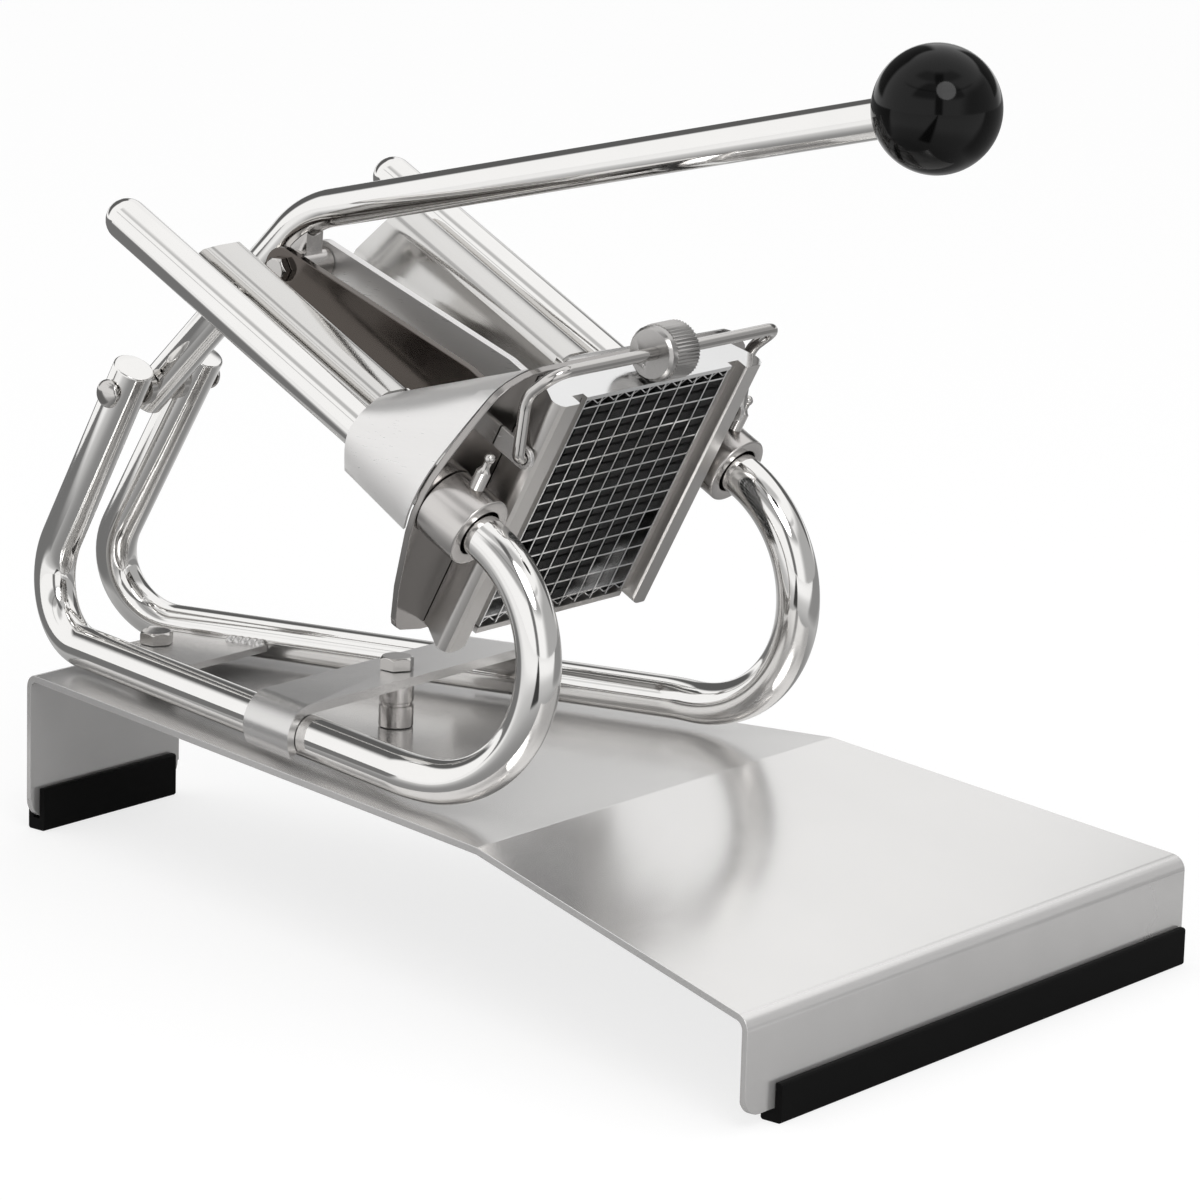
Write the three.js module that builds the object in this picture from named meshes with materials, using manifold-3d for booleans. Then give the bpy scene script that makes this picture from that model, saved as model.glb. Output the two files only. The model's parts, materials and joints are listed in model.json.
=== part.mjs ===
// A table-top french fry cutter: a bent steel base, two bent side tubes, a sloping chute
// with a blade grid at its lower end, and a hand lever that drives a toothed pusher.
// Millimetres, +X to the front, +Y to the left, +Z up.

import * as THREE from 'three';
import { mergeVertices } from 'three/addons/utils/BufferGeometryUtils.js';
import Module from 'manifold-3d';

const wasm = await Module();
wasm.setup();

// Clearances and fineness
const gap = 0.3;
const runningGap = 0.05;
const overrun = 2;
const weldDistance = 0.0001;
const tubeSides = 24;
const wireSides = 12;
const roundSides = 24;
const bendSteps = 7;
const loopSteps = 14;
const domeSteps = 5;
const ballSteps = 14;

// Base plate
const plateThickness = 3;
const plateTop = 71;
const plateLength = 470;
const kneeX = 313;
const frontTop = 44.6;
const flangeBottom = 5.6;
const plateBendRadius = 5;
const rearHalfWidth = 46;
const kneeHalfWidth = 115;
const frontHalfWidth = 146;
const flangeCornerRadius = 9;

// Foot strips
const stripWall = 3;
const frontStripHeight = 15.7;
const rearStripHeight = 19;
const frontStripRightInset = 18;
const frontStripLeftInset = 2;
const rearStripInset = 4.5;
const stripEdge = 0.8;

// Side tubes
const tubeRadius = 9;
const runClearance = 2.3;
const rearElbowX = -30.1;
const rearElbowY = 17;
const uprightTopY = 21.5;
const uprightHeight = 125.2;
const uprightLean = THREE.MathUtils.degToRad(29);
const uprightCapTilt = THREE.MathUtils.degToRad(18);
const rearBendRadius = 29.6;
const guideY = 82;
const loopY = 86;
const planBendRadius = 50;
const planBendX = 254;
const loopCentreX = 262.4;
const loopRadius = 53.5;
const slopeAngle = THREE.MathUtils.degToRad(27.5);
const guideLength = 218.9;

// Front crossbar, its bolt and standoff
const crossbarRear = 153.6;
const crossbarFront = 184.9;
const crossbarThickness = 4;
const crossbarFlapAngle = THREE.MathUtils.degToRad(-36);
const crossbarLap = 6;
const frontBoltX = 171;
const boltRadius = 4;
const boltHeadFlats = 13;
const boltHeadHeight = 5.3;
const boltHeadChamfer = 0.8;
const nutHeight = 6.5;
const boltTail = 3;
const standoffRadius = 7.3;
const standoffGroove = 0.8;
const standoffGrooveHeight = 1.4;

// Rear cross plate
const crossPlateRear = 24;
const crossPlateFront = 69;
const crossPlateThickness = 3;
const crossPlateDrop = 1.9;
const rearBoltX = 33;
const weldRadius = 2.6;
const weldPitch = 3.4;
const weldLength = 15;

// Head plate, in slope coordinates: s down the slope, y to the left, n square to the slope
const headRear = 191;
const headThickness = 3;
const headOutline = [
  [0, 59], [54, 59], [61.8, 58.4], [66.5, 57.2], [73.5, 54.2], [78.3, 50.2], [80.8, 46.5],
  [87, 34.5], [92.5, 22], [95.6, 13], [96.8, 6], [96.8, -4], [94.6, -15], [85.5, -43],
  [77.8, -60.5], [75.6, -64], [71.5, -66.4], [58, -68.8], [0, -68.8],
];
const windowHalfWidth = 46;
const windowTop = 52;
const windowBottom = -60.5;

// Chute
const sheet = 1.6;
const chuteHalfWidth = 47.4;
const chuteKnee = -25;
const chuteFloor = -56;
const chuteFloorHalfWidth = 9;
const chuteRear = 20;
const bandFront = 136;
const bandTop = 7.4;
const bandHalfWidth = 66.6;
const bandSkirt = -5;
const bandRadius = 5.6;
const innerWallTop = 6;
const chuteRearEdge = [[34, 9], [29.6, 4], [21, -18], [20.4, -24], [24, -40], [34, -60]];

// Chute screws, from the folded band into the guide tubes
const screwS = 51;
const screwN = -1.6;
const screwRadius = 2;
const screwHeadRadius = 3.2;
const screwHeadHeight = 2.4;
const screwDepth = 3.5;
const spacerRadius = 3.8;

// Hoods: each row holds y, n and s at the rear edge, then y and n at the head plate
const hoodSheet = 1.2;
const hoodSteps = 7;
const hoodCurveSteps = 20;
const hoodCheek = [
  [49.7, -3, 136.9, 49.7, -3],
  [49.9, 5.4, 136.9, 60, 57.6],
];
const hoodSkin = [
  [51.6, 6.9, 137, 62.2, 58.2],
  [62, 8, 137.8, 68.5, 56.1],
  [74, 10.6, 141.4, 76.6, 51.3],
  [83.5, 11.4, 145, 82.4, 42.6],
  [90.6, 8.9, 147, 89, 30.5],
  [94.2, 3.6, 148, 95, 18],
  [94.8, -2, 149.4, 97.6, 7],
  [94.6, -7, 151.6, 97.4, -5],
  [94.4, -11.6, 154, 95.4, -13],
];

// Collars and set screws
const collarRadius = 15;
const collarLength = 20.5;
const collarChamfer = 1;
const collarBoreGap = 1.1;
const setScrewS = 204.4;
const setScrewRadius = 3.1;
const setScrewNeckRadius = 1.6;
const setScrewBallRadius = 2.2;
const setScrewShoulder = 24;
const setScrewTop = 31;

// Die frame and blade grid
const gridPitch = 10;
const gridRowPitch = 9.45;
const gridColumns = 9;
const gridRows = 11;
const gridCentre = -1.4;
const gridRear = 200.4;
const gridFront = 210.6;
const bladeThickness = 0.8;
const bladeEnd = 4.2;
const dieTop = 57;
const dieBottom = -60.6;
const railBottom = -65;
const railLedge = 14;
const railLipInner = 52.8;
const railDepth = 19.2;
const railOuter = [[58.4, 0], [59, 3.4], [65, 13.8], [65, 16], [63.8, 18.2], [62, 19.2]];
const railCornerRadius = 5;

// Bail wire, its lugs and the eccentric latch roller
const wireRadius = 2.5;
const bailPivotS = 209;
const bailPivotN = 30;
const bailLegY = 70.6;
const bailBendS = 200.6;
const bailBendN = 54;
const bailTopS = 208.5;
const bailTopN = 70.7;
const bailEndRadius = 2.7;
const bailBendRadius = 14;
const bailTopRadius = 7.5;
const lugThickness = 2;
const lugRadius = 4.6;
const rollerRadius = 11.7;
const rollerRight = -10;
const rollerLeft = 7.5;
const rollerShift = 1.8;
const rollerTeeth = 48;
const rollerToothDepth = 0.55;
const rollerPlainEnd = 4;
const rollerChamfer = 1.2;
const rollerCentreDot = 0.9;
const rollerCentreDepth = 1.4;

// Lever, knob and pivot
const leverRadius = 8;
const pivotHeight = 114.2;
const leverTail = 11;
const leverBendX = 117.7;
const leverBendHeight = 199.4;
const leverBendRadius = 50;
const handleAngle = THREE.MathUtils.degToRad(14);
const handleLength = 301;
const knobRadius = 25;
const knobMouthRadius = 11;
const knobSocket = 25;
const pinRadius = 4;
const pinHeadRadius = 6.2;
const pinHeadHeight = 3.6;
const washerRadius = 7.6;

// Links, cross pin and boss
const linkPivotX = 116.5;
const linkPivotHeight = 177;
const linkBoltRadius = 3;
const bossRadius = 6.8;
const bossHalfWidth = 10.6;
const bossNeckWidth = 9;
const bossNeckHalfThickness = 5;
const linkInner = 11;
const linkThickness = 4;
const linkRearRadius = 9;
const linkTopRise = 23.4;
const linkBottomDrop = 6.5;
const linkWideSetback = 32.6;
const crossPinSetback = 18.3;
const crossPinN = -1.36;
const linkNoseRadius = 13;
const linkHeadFlats = 10;
const linkHeadHeight = 4.2;
const crossPinRadius = 4;
const crossPinHeadRadius = 6.4;
const crossPinHeadHeight = 2.6;

// Pusher
const pusherRear = 186.4;
const pusherFront = 193;
const pegTip = 205.4;
const pegGap = 0.4;
const pegTaper = 0.5;
const pusherHalfWidth = 44.6;
const pusherTop = 50.4;
const pusherKnee = -23.5;
const pusherBottom = -53.5;
const pusherBottomHalfWidth = 8;
const bracketHalfWidth = 10.4;
const bracketFlangeThickness = 4;
const bracketFlangeHalfWidth = 24;
const bracketFlangeHalfHeight = 30;
const bracketCentre = 3.9;
const bracketHalfHeight = 17;
const bracketReach = 13;
const slotShift = 0.4;
const slotHalfLength = 8.8;
const slotHalfWidth = 5.1;

// Places that follow from the dimensions above
const runHeight = plateTop + runClearance + tubeRadius;
const uprightTopZ = runHeight + uprightHeight;
const pivotZ = runHeight + pivotHeight;
const leverBendZ = runHeight + leverBendHeight;
const linkPivotZ = runHeight + linkPivotHeight;
const runDirection = new THREE.Vector3(planBendX - rearElbowX, loopY - rearElbowY, 0).normalize();
const runTurn = Math.atan2(runDirection.y, runDirection.x);
const loopCentreZ = runHeight + loopRadius;
const loopEnd = new THREE.Vector3(
  loopCentreX + loopRadius * Math.sin(slopeAngle),
  0,
  loopCentreZ + loopRadius * Math.cos(slopeAngle),
);
const slope = new THREE.Matrix4().makeRotationY(slopeAngle);
slope.setPosition(
  loopEnd.x - guideLength * Math.cos(slopeAngle),
  0,
  loopEnd.z + guideLength * Math.sin(slopeAngle),
);
const slopeInverse = slope.clone().invert();
const pivotX = rearElbowX + (pivotZ - runHeight) * Math.tan(uprightLean);
const uprightTopX = rearElbowX + (uprightTopZ - runHeight) * Math.tan(uprightLean);
const uprightRise = (pivotZ - runHeight) / (uprightTopZ - runHeight);
const pivotY = rearElbowY + (uprightTopY - rearElbowY) * uprightRise;
const headFront = headRear + headThickness;
const chuteFront = headRear - gap;
const crossbarBottom = runHeight + tubeRadius + gap;
const crossbarTop = crossbarBottom + crossbarThickness;
const crossPlateTop = runHeight - crossPlateDrop + crossPlateThickness / 2;
const gridHalfWidth = gridPitch * gridColumns / 2;
const gridHalfHeight = gridRowPitch * gridRows / 2;
const gridTop = gridCentre + gridHalfHeight;
const gridBottom = gridCentre - gridHalfHeight;
const bladeTop = gridTop + bladeEnd;
const bladeBottom = gridBottom - bladeEnd;
const railInner = gridHalfWidth + bladeThickness / 2 + gap;
const rollerS = bailTopS - rollerShift;
const rollerN = dieTop + gap + rollerRadius;
const linkPivot = new THREE.Vector3(linkPivotX, 0, linkPivotZ).applyMatrix4(slopeInverse);
const crossPinS = pusherRear - crossPinSetback;

// Turns a geometry into a solid for cutting and joining, and back
function toSolid(geometry) {
  const bare = geometry.clone();
  bare.deleteAttribute('normal');
  bare.deleteAttribute('uv');
  const welded = mergeVertices(bare, weldDistance);
  const vertProperties = Float32Array.from(welded.attributes.position.array);
  const triVerts = Uint32Array.from(welded.index.array);
  return new wasm.Manifold(new wasm.Mesh({ numProp: 3, vertProperties, triVerts }));
}

function toGeometry(solid) {
  const mesh = solid.getMesh();
  const geometry = new THREE.BufferGeometry();
  geometry.setAttribute('position', new THREE.BufferAttribute(mesh.vertProperties, 3));
  geometry.setIndex(new THREE.BufferAttribute(mesh.triVerts, 1));
  geometry.computeVertexNormals();
  return geometry;
}

function join(...geometries) {
  return toGeometry(wasm.Manifold.union(geometries.map(toSolid)));
}

function cut(geometry, ...cutters) {
  return toGeometry(wasm.Manifold.difference([geometry, ...cutters].map(toSolid)));
}

function keep(geometry, region) {
  return toGeometry(toSolid(geometry).intersect(toSolid(region)));
}

// Mirrors a geometry from the left side to the right side and keeps its faces outward
function mirrored(geometry) {
  const copy = geometry.index ? geometry.toNonIndexed() : geometry.clone();
  copy.scale(1, -1, 1);
  const place = copy.attributes.position;
  for (let i = 0; i < place.count; i += 3) {
    const first = new THREE.Vector3().fromBufferAttribute(place, i);
    const last = new THREE.Vector3().fromBufferAttribute(place, i + 2);
    place.setXYZ(i, last.x, last.y, last.z);
    place.setXYZ(i + 2, first.x, first.y, first.z);
  }
  copy.deleteAttribute('normal');
  copy.deleteAttribute('uv');
  return mergeVertices(copy, weldDistance);
}

// Prisms: an outline of [a, b] pairs carried along one axis from one place to another
function prismZ(outline, from, to, holes = []) {
  const shape = new THREE.Shape(outline.map(([a, b]) => new THREE.Vector2(a, b)));
  shape.holes = holes.map((hole) => new THREE.Path(hole.map(([a, b]) => new THREE.Vector2(a, b))));
  const geometry = new THREE.ExtrudeGeometry(shape, { depth: to - from, bevelEnabled: false });
  return geometry.translate(0, 0, from);
}

function prismX(outline, from, to, holes = []) {
  const turn = new THREE.Matrix4().set(0, 0, 1, 0, 1, 0, 0, 0, 0, 1, 0, 0, 0, 0, 0, 1);
  return prismZ(outline, from, to, holes).applyMatrix4(turn);
}

function prismY(outline, from, to, holes = []) {
  return prismZ(outline, -to, -from, holes).rotateX(Math.PI / 2);
}

function box(fromX, toX, fromY, toY, fromZ, toZ) {
  const outline = [[fromX, fromY], [toX, fromY], [toX, toY], [fromX, toY]];
  return prismZ(outline, fromZ, toZ);
}

function circle(radius, sides, centreA = 0, centreB = 0) {
  return Array.from({ length: sides }, (_, i) => {
    const angle = i / sides * Math.PI * 2;
    return [centreA + radius * Math.cos(angle), centreB + radius * Math.sin(angle)];
  });
}

function hexagon(flats, centreA = 0, centreB = 0) {
  return circle(flats / 2 / Math.cos(Math.PI / 6), 6, centreA, centreB);
}

// Turned pieces: rows of [radius, place], set along Z or along Y
function turnedZ(profile, sides = roundSides) {
  const points = profile.map(([radius, place]) => new THREE.Vector2(radius, place));
  return new THREE.LatheGeometry(points, sides).rotateX(Math.PI / 2);
}

function turnedY(profile, sides = roundSides) {
  const points = profile.map(([radius, place]) => new THREE.Vector2(radius, place));
  return new THREE.LatheGeometry(points, sides);
}

// Gives a path of corners a bend of its own radius at each inner corner
function bentPath(corners, radii, steps) {
  const path = [corners[0].clone()];
  for (let i = 1; i < corners.length - 1; i += 1) {
    const before = corners[i - 1].clone().sub(corners[i]).normalize();
    const after = corners[i + 1].clone().sub(corners[i]).normalize();
    const half = before.angleTo(after) / 2;
    const reach = radii[i - 1] / Math.tan(half);
    const middle = before.clone().add(after).normalize();
    const centre = corners[i].clone().addScaledVector(middle, radii[i - 1] / Math.sin(half));
    const start = corners[i].clone().addScaledVector(before, reach).sub(centre);
    const end = corners[i].clone().addScaledVector(after, reach).sub(centre);
    const sweep = start.angleTo(end);
    for (let k = 0; k <= steps; k += 1) {
      const a = Math.sin((1 - k / steps) * sweep) / Math.sin(sweep);
      const b = Math.sin(k / steps * sweep) / Math.sin(sweep);
      path.push(centre.clone().addScaledVector(start, a).addScaledVector(end, b));
    }
  }
  path.push(corners[corners.length - 1].clone());
  return path;
}

function flatCorners(pairs) {
  return pairs.map(([a, b]) => new THREE.Vector3(a, b, 0));
}

// The outline of a bent sheet, seen on edge, from the corners of its middle line
function sheetOutline(pairs, bendRadius, thickness) {
  const corners = flatCorners(pairs);
  const radii = corners.slice(2).map(() => bendRadius);
  const path = bentPath(corners, radii, bendSteps);
  const left = [];
  const right = [];
  path.forEach((point, i) => {
    const before = path[Math.max(i - 1, 0)];
    const after = path[Math.min(i + 1, path.length - 1)];
    const along = after.clone().sub(before).normalize();
    const aside = new THREE.Vector3(-along.y, along.x, 0).multiplyScalar(thickness / 2);
    left.push([point.x + aside.x, point.y + aside.y]);
    right.push([point.x - aside.x, point.y - aside.y]);
  });
  return [...left, ...right.reverse()];
}

// A closed round rod along a path; a dome or an oblique face may finish its ends
function roundRod(path, radius, sides, options = {}) {
  const { startFace = null, endDome = false } = options;
  const stations = path.map((point) => ({ point, size: radius }));
  if (endDome) {
    const last = path[path.length - 1];
    const out = last.clone().sub(path[path.length - 2]).normalize();
    for (let k = 1; k < domeSteps; k += 1) {
      const angle = k / domeSteps * Math.PI / 2;
      const point = last.clone().addScaledVector(out, radius * Math.sin(angle));
      stations.push({ point, size: radius * Math.cos(angle) });
    }
  }
  const tangents = stations.map((station, i) => {
    const before = stations[Math.max(i - 1, 0)].point;
    const after = stations[Math.min(i + 1, stations.length - 1)].point;
    return after.clone().sub(before).normalize();
  });
  let side = new THREE.Vector3(0, 1, 0);
  if (Math.abs(tangents[0].y) > Math.SQRT1_2) {
    side = new THREE.Vector3(0, 0, 1);
  }
  const positions = [];
  stations.forEach(({ point, size }, i) => {
    side = side.clone().addScaledVector(tangents[i], -side.dot(tangents[i])).normalize();
    const other = new THREE.Vector3().crossVectors(tangents[i], side);
    for (let k = 0; k < sides; k += 1) {
      const angle = k / sides * Math.PI * 2;
      const spoke = side.clone().multiplyScalar(size * Math.cos(angle));
      spoke.addScaledVector(other, size * Math.sin(angle));
      if (i === 0 && startFace) {
        spoke.addScaledVector(tangents[i], -spoke.dot(startFace) / tangents[i].dot(startFace));
      }
      positions.push(...point.clone().add(spoke).toArray());
    }
  });
  const startCentre = positions.length / 3;
  positions.push(...stations[0].point.toArray());
  const tip = stations[stations.length - 1].point.clone();
  if (endDome) {
    const last = path[path.length - 1];
    tip.copy(last).addScaledVector(tangents[tangents.length - 1], radius);
  }
  positions.push(...tip.toArray());
  const index = [];
  const top = (stations.length - 1) * sides;
  for (let k = 0; k < sides; k += 1) {
    const next = (k + 1) % sides;
    for (let i = 0; i < stations.length - 1; i += 1) {
      const low = i * sides;
      const high = low + sides;
      index.push(low + k, low + next, high + next, low + k, high + next, high + k);
    }
    index.push(startCentre, next, k, startCentre + 1, top + k, top + next);
  }
  const geometry = new THREE.BufferGeometry();
  geometry.setAttribute('position', new THREE.Float32BufferAttribute(positions, 3));
  geometry.setIndex(index);
  return geometry;
}

// A closed sheet of even thickness over a grid of places
function sheetOverGrid(rows, thickness) {
  const across = rows[0].length;
  const positions = [];
  [1, -1].forEach((face) => {
    rows.forEach((row, j) => row.forEach((point, i) => {
      const alongRow = row[Math.min(i + 1, across - 1)].clone().sub(row[Math.max(i - 1, 0)]);
      const nextRow = rows[Math.min(j + 1, rows.length - 1)][i];
      const alongColumn = nextRow.clone().sub(rows[Math.max(j - 1, 0)][i]);
      const normal = alongRow.cross(alongColumn).normalize();
      positions.push(...point.clone().addScaledVector(normal, face * thickness / 2).toArray());
    }));
  });
  const index = [];
  const back = rows.length * across;
  const quad = (a, b, c, d) => index.push(a, b, c, a, c, d);
  for (let j = 0; j < rows.length - 1; j += 1) {
    for (let i = 0; i < across - 1; i += 1) {
      const a = j * across + i;
      quad(a, a + 1, a + 1 + across, a + across);
      quad(back + a, back + a + across, back + a + 1 + across, back + a + 1);
    }
    const start = j * across;
    const end = start + across - 1;
    quad(start, start + across, back + start + across, back + start);
    quad(end, back + end, back + end + across, end + across);
  }
  for (let i = 0; i < across - 1; i += 1) {
    const far = back - across + i;
    quad(i, back + i, back + i + 1, i + 1);
    quad(far, far + 1, back + far + 1, back + far);
  }
  const geometry = new THREE.BufferGeometry();
  geometry.setAttribute('position', new THREE.Float32BufferAttribute(positions, 3));
  geometry.setIndex(index);
  return geometry;
}

// Base plate: one strip bent to its side view, trimmed to its tapering plan
function basePlate() {
  const half = plateThickness / 2;
  const middle = [
    [half, flangeBottom],
    [half, plateTop - half],
    [kneeX, plateTop - half],
    [plateLength - half, frontTop - half],
    [plateLength - half, flangeBottom],
  ];
  const outline = sheetOutline(middle, plateBendRadius, plateThickness);
  const side = prismY(outline, -frontHalfWidth, frontHalfWidth);
  const plan = [
    [-overrun, rearHalfWidth],
    [0, rearHalfWidth],
    [kneeX, kneeHalfWidth],
    [plateLength, frontHalfWidth],
    [plateLength + overrun, frontHalfWidth],
  ];
  const planRight = plan.map(([x, y]) => [x, -y]).reverse();
  const region = prismZ([...plan.reverse(), ...planRight.reverse()], 0, plateTop + overrun);
  const corner = (halfWidth, fromX, toX) => {
    const out = halfWidth + overrun;
    const inner = halfWidth - flangeCornerRadius;
    const arc = Array.from({ length: bendSteps + 1 }, (_, i) => {
      const angle = i / bendSteps * Math.PI / 2;
      const y = inner + flangeCornerRadius * Math.sin(angle);
      return [y, flangeBottom + flangeCornerRadius - flangeCornerRadius * Math.cos(angle)];
    });
    const outline = [[inner, 0], [out, 0], [out, arc[bendSteps][1]], ...arc.reverse()];
    const cutter = prismX(outline, fromX, toX);
    return [cutter, mirrored(cutter)];
  };
  const holes = [frontBoltX, rearBoltX].map((x) => {
    const plateBottom = plateTop - plateThickness;
    return prismZ(circle(boltRadius + gap, roundSides, x, 0), plateBottom - overrun, plateTop + overrun);
  });
  const rearCorners = corner(rearHalfWidth, -overrun, plateThickness + overrun);
  const flangeRear = plateLength - plateThickness;
  const frontCorners = corner(frontHalfWidth, flangeRear - overrun, plateLength + overrun);
  return cut(keep(side, region), ...rearCorners, ...frontCorners, ...holes);
}

// Foot strips: a channel of rubber pressed over a flange's lower edge
function footStrip(flangeOuter, flangeInner, height, fromY, toY) {
  const low = Math.min(flangeOuter, flangeInner);
  const high = Math.max(flangeOuter, flangeInner);
  const outerLow = low - gap - stripWall;
  const outerHigh = high + gap + stripWall;
  const outline = [
    [outerLow + stripEdge, 0],
    [outerHigh - stripEdge, 0],
    [outerHigh, stripEdge],
    [outerHigh, height - stripEdge],
    [outerHigh - stripEdge, height],
    [high + gap, height],
    [high + gap, flangeBottom - gap],
    [low - gap, flangeBottom - gap],
    [low - gap, height],
    [outerLow + stripEdge, height],
    [outerLow, height - stripEdge],
    [outerLow, stripEdge],
  ];
  return prismY(outline, fromY, toY);
}

// Side tubes: upright, bottom run, front loop and guide in one bent tube with a domed end
function sideTubePath() {
  const top = new THREE.Vector3(uprightTopX, uprightTopY, uprightTopZ);
  const elbow = new THREE.Vector3(rearElbowX, rearElbowY, runHeight);
  const planBend = new THREE.Vector3(planBendX, loopY, runHeight);
  const loopStart = new THREE.Vector3(loopCentreX, loopY, runHeight);
  const path = bentPath([top, elbow, planBend, loopStart], [rearBendRadius, planBendRadius], bendSteps);
  const sweep = Math.PI - slopeAngle;
  for (let k = 1; k <= loopSteps; k += 1) {
    const angle = k / loopSteps * sweep;
    const x = loopCentreX + loopRadius * Math.sin(angle);
    const y = THREE.MathUtils.lerp(loopY, guideY, THREE.MathUtils.smoothstep(k / loopSteps, 0, 1));
    path.push(new THREE.Vector3(x, y, loopCentreZ - loopRadius * Math.cos(angle)));
  }
  path.push(new THREE.Vector3(0, guideY, 0).applyMatrix4(slope));
  return path;
}

function sideTube() {
  const capLean = uprightLean - uprightCapTilt;
  const lean = new THREE.Vector3(Math.sin(capLean), 0, Math.cos(capLean));
  const rod = roundRod(sideTubePath(), tubeRadius, tubeSides, { startFace: lean, endDome: true });
  const pinHole = prismY(
    circle(pinRadius + gap, roundSides, pivotX, pivotZ),
    pivotY - tubeRadius - overrun,
    pivotY + tubeRadius + overrun,
  );
  const inner = guideY - tubeRadius;
  const screwRim = circle(screwRadius + gap, wireSides, screwS, screwN);
  const screwHole = prismY(screwRim, inner - overrun, inner + screwDepth + gap);
  return cut(rod, pinHole, screwHole.applyMatrix4(slope));
}

// Front crossbar: a flat bar whose ends curl down round the bottom runs
function runCentreY(x) {
  return rearElbowY + (x - rearElbowX) * Math.tan(runTurn);
}

function frontCrossbar() {
  const inner = tubeRadius + gap;
  const outer = inner + crossbarThickness;
  const arc = (radius) => Array.from({ length: loopSteps + 1 }, (_, i) => {
    const angle = crossbarFlapAngle + i / loopSteps * (Math.PI / 2 - crossbarFlapAngle);
    return [radius * Math.cos(angle), radius * Math.sin(angle)];
  });
  const hook = [...arc(outer), [-crossbarLap, outer], [-crossbarLap, inner], ...arc(inner).reverse()];
  const middleX = (crossbarRear + crossbarFront) / 2;
  const half = crossbarFront - crossbarRear;
  const flap = prismX(hook, -half, half);
  flap.rotateZ(runTurn);
  flap.translate(middleX, runCentreY(middleX), runHeight);
  const slab = box(crossbarRear, crossbarFront, 0, guideY + tubeRadius, 0, crossbarTop + overrun);
  const leftFlap = keep(flap, slab);
  const flat = prismZ([
    [crossbarRear, -runCentreY(crossbarRear)],
    [crossbarFront, -runCentreY(crossbarFront)],
    [crossbarFront, runCentreY(crossbarFront)],
    [crossbarRear, runCentreY(crossbarRear)],
  ], crossbarBottom, crossbarTop);
  const rim = circle(boltRadius + gap, roundSides, frontBoltX, 0);
  const hole = prismZ(rim, crossbarBottom - overrun, crossbarTop + overrun);
  return cut(join(flat, leftFlap, mirrored(leftFlap)), hole);
}

// Hexagon bolt: its head is chamfered by a turned cone, its shank stands below it
function hexBolt(flats, headHeight, shankRadius, shankLength) {
  const corner = flats / 2 / Math.cos(Math.PI / 6);
  const head = prismZ(hexagon(flats), 0, headHeight);
  const cone = turnedZ([
    [0, -overrun],
    [corner + overrun, -overrun],
    [corner + overrun, headHeight - boltHeadChamfer - overrun],
    [corner - boltHeadChamfer * 2, headHeight + gap],
    [0, headHeight + gap],
  ]);
  const shank = prismZ(circle(shankRadius, roundSides), -shankLength, overrun);
  return join(keep(head, cone), shank);
}

function hexNut(flats, height, boreRadius) {
  return prismZ(hexagon(flats), 0, height, [circle(boreRadius, roundSides)]);
}

function standoff() {
  const low = plateTop + gap;
  const high = crossbarBottom - gap;
  const middle = (low + high) / 2;
  const bore = boltRadius + gap;
  const waist = standoffRadius - standoffGroove;
  const half = standoffGrooveHeight / 2;
  return turnedZ([
    [bore, low], [standoffRadius, low], [standoffRadius, middle - half], [waist, middle - half],
    [waist, middle + half], [standoffRadius, middle + half], [standoffRadius, high], [bore, high],
    [bore, low],
  ]);
}

// Rear cross plate: a flat plate between the bottom runs with a weld along each side
function rearCrossPlate() {
  const bottom = crossPlateTop - crossPlateThickness;
  const inset = (tubeRadius + gap) / Math.cos(runTurn);
  const edge = (x) => runCentreY(x) - inset;
  const plate = prismZ([
    [crossPlateRear, -edge(crossPlateRear)],
    [crossPlateFront, -edge(crossPlateFront)],
    [crossPlateFront, edge(crossPlateFront)],
    [crossPlateRear, edge(crossPlateRear)],
  ], bottom, crossPlateTop);
  const beads = [];
  for (let along = 0; along <= weldLength; along += weldPitch) {
    const x = crossPlateFront - weldRadius - along;
    const bead = new THREE.SphereGeometry(weldRadius, wireSides, domeSteps);
    bead.translate(x, edge(x) - weldRadius / 2, crossPlateTop);
    beads.push(bead, mirrored(bead));
  }
  const sleeve = roundRod(sideTubePath(), tubeRadius + gap, tubeSides);
  const rim = circle(boltRadius + gap, roundSides, rearBoltX, 0);
  const hole = prismZ(rim, bottom - overrun, crossPlateTop + overrun);
  return cut(join(plate, ...beads), sleeve, mirrored(sleeve), hole);
}

function rearSpacer() {
  const low = plateTop + gap;
  const high = crossPlateTop - crossPlateThickness - gap;
  return prismZ(circle(standoffRadius, roundSides), low, high, [circle(boltRadius + gap, roundSides)]);
}

// Head plate: a flat plate square to the slope, with the window and the two guide holes
function headPlate() {
  const right = headOutline.map(([y, n]) => [-y, n]).slice(1, -1).reverse();
  const plate = prismX([...headOutline].reverse().concat(right.reverse()), headRear, headFront);
  const window = box(
    headRear - overrun, headFront + overrun,
    -windowHalfWidth, windowHalfWidth,
    windowBottom, windowTop,
  );
  const hole = prismX(
    circle(tubeRadius + gap, tubeSides, guideY, 0),
    headRear - overrun,
    headFront + overrun,
  );
  return cut(plate, window, hole, mirrored(hole)).applyMatrix4(slope);
}

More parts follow.
